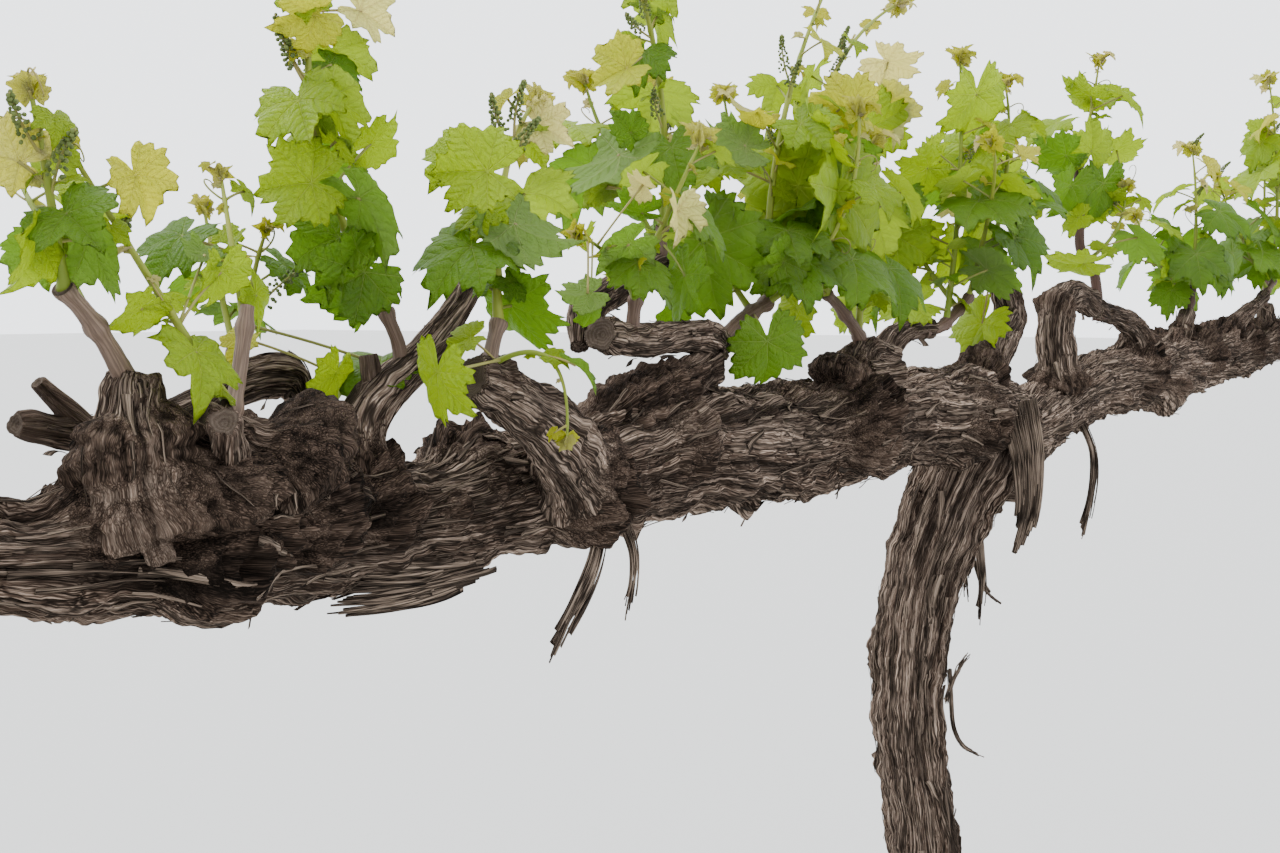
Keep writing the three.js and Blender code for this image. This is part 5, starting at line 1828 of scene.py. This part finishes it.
def leaf_material(name, veins, colours, roughness, vein_share):
    """One side of a leaf: a veined face that lets much of the light through."""
    first, second, vein, glow = colours
    material, nodes, output = new_material(name)
    inputs = {"Place": read(nodes, "grain").outputs["Vector"], "Relief": LEAF_RELIEF * MM}
    leaf = nodes.add("ShaderNodeGroup", inputs, node_tree=veins)
    mottle = nodes.math("MULTIPLY", nodes.ease(0.3, 0.7, leaf.outputs["Mottle"]), 0.4)
    share = nodes.math("MULTIPLY_ADD", own_number(nodes), 0.6, mottle)
    veined = nodes.math("MAXIMUM", leaf.outputs["Main"], nodes.math("MULTIPLY", leaf.outputs["Side"], 0.7))
    shade = nodes.mix(nodes.math("MULTIPLY", veined, vein_share), nodes.mix(share, first, second), vein)
    face = principled(nodes, shade, roughness, leaf.outputs["Normal"], 0.25)
    light = {"Color": glow, "Normal": leaf.outputs["Normal"]}
    glowing = nodes.add("ShaderNodeBsdfTranslucent", light).outputs[0]
    mixed = nodes.add("ShaderNodeMixShader", {0: LEAF_GLOW, 1: face, 2: glowing}).outputs[0]
    nodes.tree.links.new(mixed, output.inputs[0])
    return material


def leaf_materials(veins):
    """The upper side and the underside of a leaf of each age."""
    made = []
    for age in AGES:
        upper, under = LEAF_COLOURS[age]
        made.append(leaf_material(age + " leaf", veins, upper, 0.42, 0.75))
        made.append(leaf_material(age + " leaf underside", veins, under, 0.65, 0.85))
    return made


# The scene

def make_floor():
    """A plain pale floor."""
    material, nodes, output = new_material("floor")
    shader = nodes.add("ShaderNodeBsdfPrincipled", {"Base Color": FLOOR_COLOUR, "Roughness": 0.9})
    nodes.tree.links.new(shader.outputs[0], output.inputs[0])
    mesh = bpy.data.meshes.new("floor")
    corners = [(-1, -1), (1, -1), (1, 1), (-1, 1)]
    mesh.from_pydata([(x * FLOOR_HALF, y * FLOOR_HALF, 0) for x, y in corners], [], [(0, 1, 2, 3)])
    mesh.materials.append(material)
    floor = bpy.data.objects.new("floor", mesh)
    bpy.context.scene.collection.objects.link(floor)


def make_light():
    """The even light of a pale sky, with a soft brighter part above and behind the vine."""
    world = bpy.data.worlds.new("sky")
    world.use_nodes = True
    background = world.node_tree.nodes["Background"]
    background.inputs["Color"].default_value = SKY_COLOUR
    background.inputs["Strength"].default_value = SKY_LIGHT
    bpy.context.scene.world = world
    light = bpy.data.lights.new("soft sun", "SUN")
    light.energy = SUN_LIGHT
    light.angle = math.radians(SUN_SPREAD)
    sun = bpy.data.objects.new("soft sun", light)
    sun.rotation_euler = Vector(SUN_FROM).to_track_quat("Z", "Y").to_euler()
    bpy.context.scene.collection.objects.link(sun)


def make_camera():
    """The camera at the photograph's place."""
    camera = bpy.data.objects.new("camera", bpy.data.cameras.new("camera"))
    camera.data.lens = LENS
    camera.data.sensor_width = SENSOR_WIDTH
    camera.data.clip_start, camera.data.clip_end = 0.05, 200
    ahead, _, _ = look_ways()
    camera.location = Vector(EYE) * MM
    camera.rotation_euler = Vector(ahead).to_track_quat("-Z", "Y").to_euler()
    bpy.context.scene.collection.objects.link(camera)
    bpy.context.scene.camera = camera


def build_limbs(fibres, barks, rng):
    """The trunk and the arms."""
    for number, (node, spec) in enumerate(LIMBS.items(), 1):
        bag = Bag()
        outside = limb(bag, spec, number * LIMB_SEED)
        bag.make(node + "_bark", "bark", barks, [node])
        loose_fibres(fibres, outside, spec["fibres"], rng, LIMB_FIBRE)


def build_spurs(fibres, side, arms, barks, rng):
    """The spurs and stubs of one side. The head's spur goes with the right side."""
    bag, nodes = Bag(), []
    for seed, (node, spec) in enumerate(SPURS.items(), SPUR_SEED):
        if (side == "right") != node.startswith(("right", "head")):
            continue
        outside = limb(bag, {**SPUR_SHAPE, **spec}, seed, arms)
        loose_fibres(fibres, outside, SPUR_FIBRES, rng, SPUR_FIBRE)
        if "prong" in spec:
            limb(bag, {**spec["prong"], "knobs": 0}, seed + PRONG_SEED)
        nodes.append(node)
    for seed, (start, end, radius) in enumerate(STUBS[side], STUB_SEED):
        limb(bag, {"path": (start, end), "radii": (STUB_FOOT * radius, radius), **STUB_SHAPE}, seed)
    bag.make(side + "_spurs", "bark", barks, nodes)


def build_wood(frame, barks, loose_barks):
    """The trunk, the arms and the spurs, and the loose bark on them."""
    rng = np.random.default_rng(WOOD_SEED)
    fibres = Bag()
    build_limbs(fibres, barks, rng)
    arms = [solid_tree(frame, node) for node in LIMBS]
    for side in ("left", "right"):
        build_spurs(fibres, side, arms, barks, rng)
    fibres.make("loose_fibres", "bark_strip", loose_barks)
    pieces = (("hanging_bark", STRIPS.values(), list(STRIPS)), ("trunk_peels", TRUNK_PEELS, ()))
    for name, strips, nodes in pieces:
        bag = Bag()
        for spec in strips:
            hanging_strip(bag, spec, rng)
        bag.make(name, "bark_strip", loose_barks, nodes)


def build_growth(frame, streaks, veins):
    """The canes, the green shoots, the leaves and the buds of each mass."""
    rng = np.random.default_rng(GROWTH_SEED)
    bags = {name: Bag() for name in ("canes", *GREEN_PIECES)}
    leaves = leaf_materials(veins)
    for name, mass in MASSES.items():
        bags["leaves"] = Bag()
        box = [np.array(corner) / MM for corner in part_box(name)]
        grow_mass(bags, name, mass, solid_tree(frame, name), box, rng)
        bags["leaves"].make(name.replace("foliage", "leaves"), "foliage", leaves, [name])
    bags["canes"].make("canes", "foliage", [cane_material(streaks), pruned_material(streaks)])
    for bag, (name, material, first, second, roughness) in GREEN_PIECES.items():
        look = green_material(material, streaks, first, second, roughness)
        bags[bag].make(name, "foliage", [look])


def main():
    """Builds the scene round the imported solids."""
    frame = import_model()
    streaks, veins = make_streaks_group(), make_veins_group()
    bark = bark_material("bark", streaks, BARK_COLOURS, GRAIN_DEPTH)
    loose = bark_material("loose bark", streaks, LOOSE_COLOURS, LOOSE_GRAIN_DEPTH)
    build_wood(frame, [bark, pruned_material(streaks)], [loose])
    build_growth(frame, streaks, veins)
    make_floor()
    make_light()
    make_camera()
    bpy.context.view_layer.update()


main()
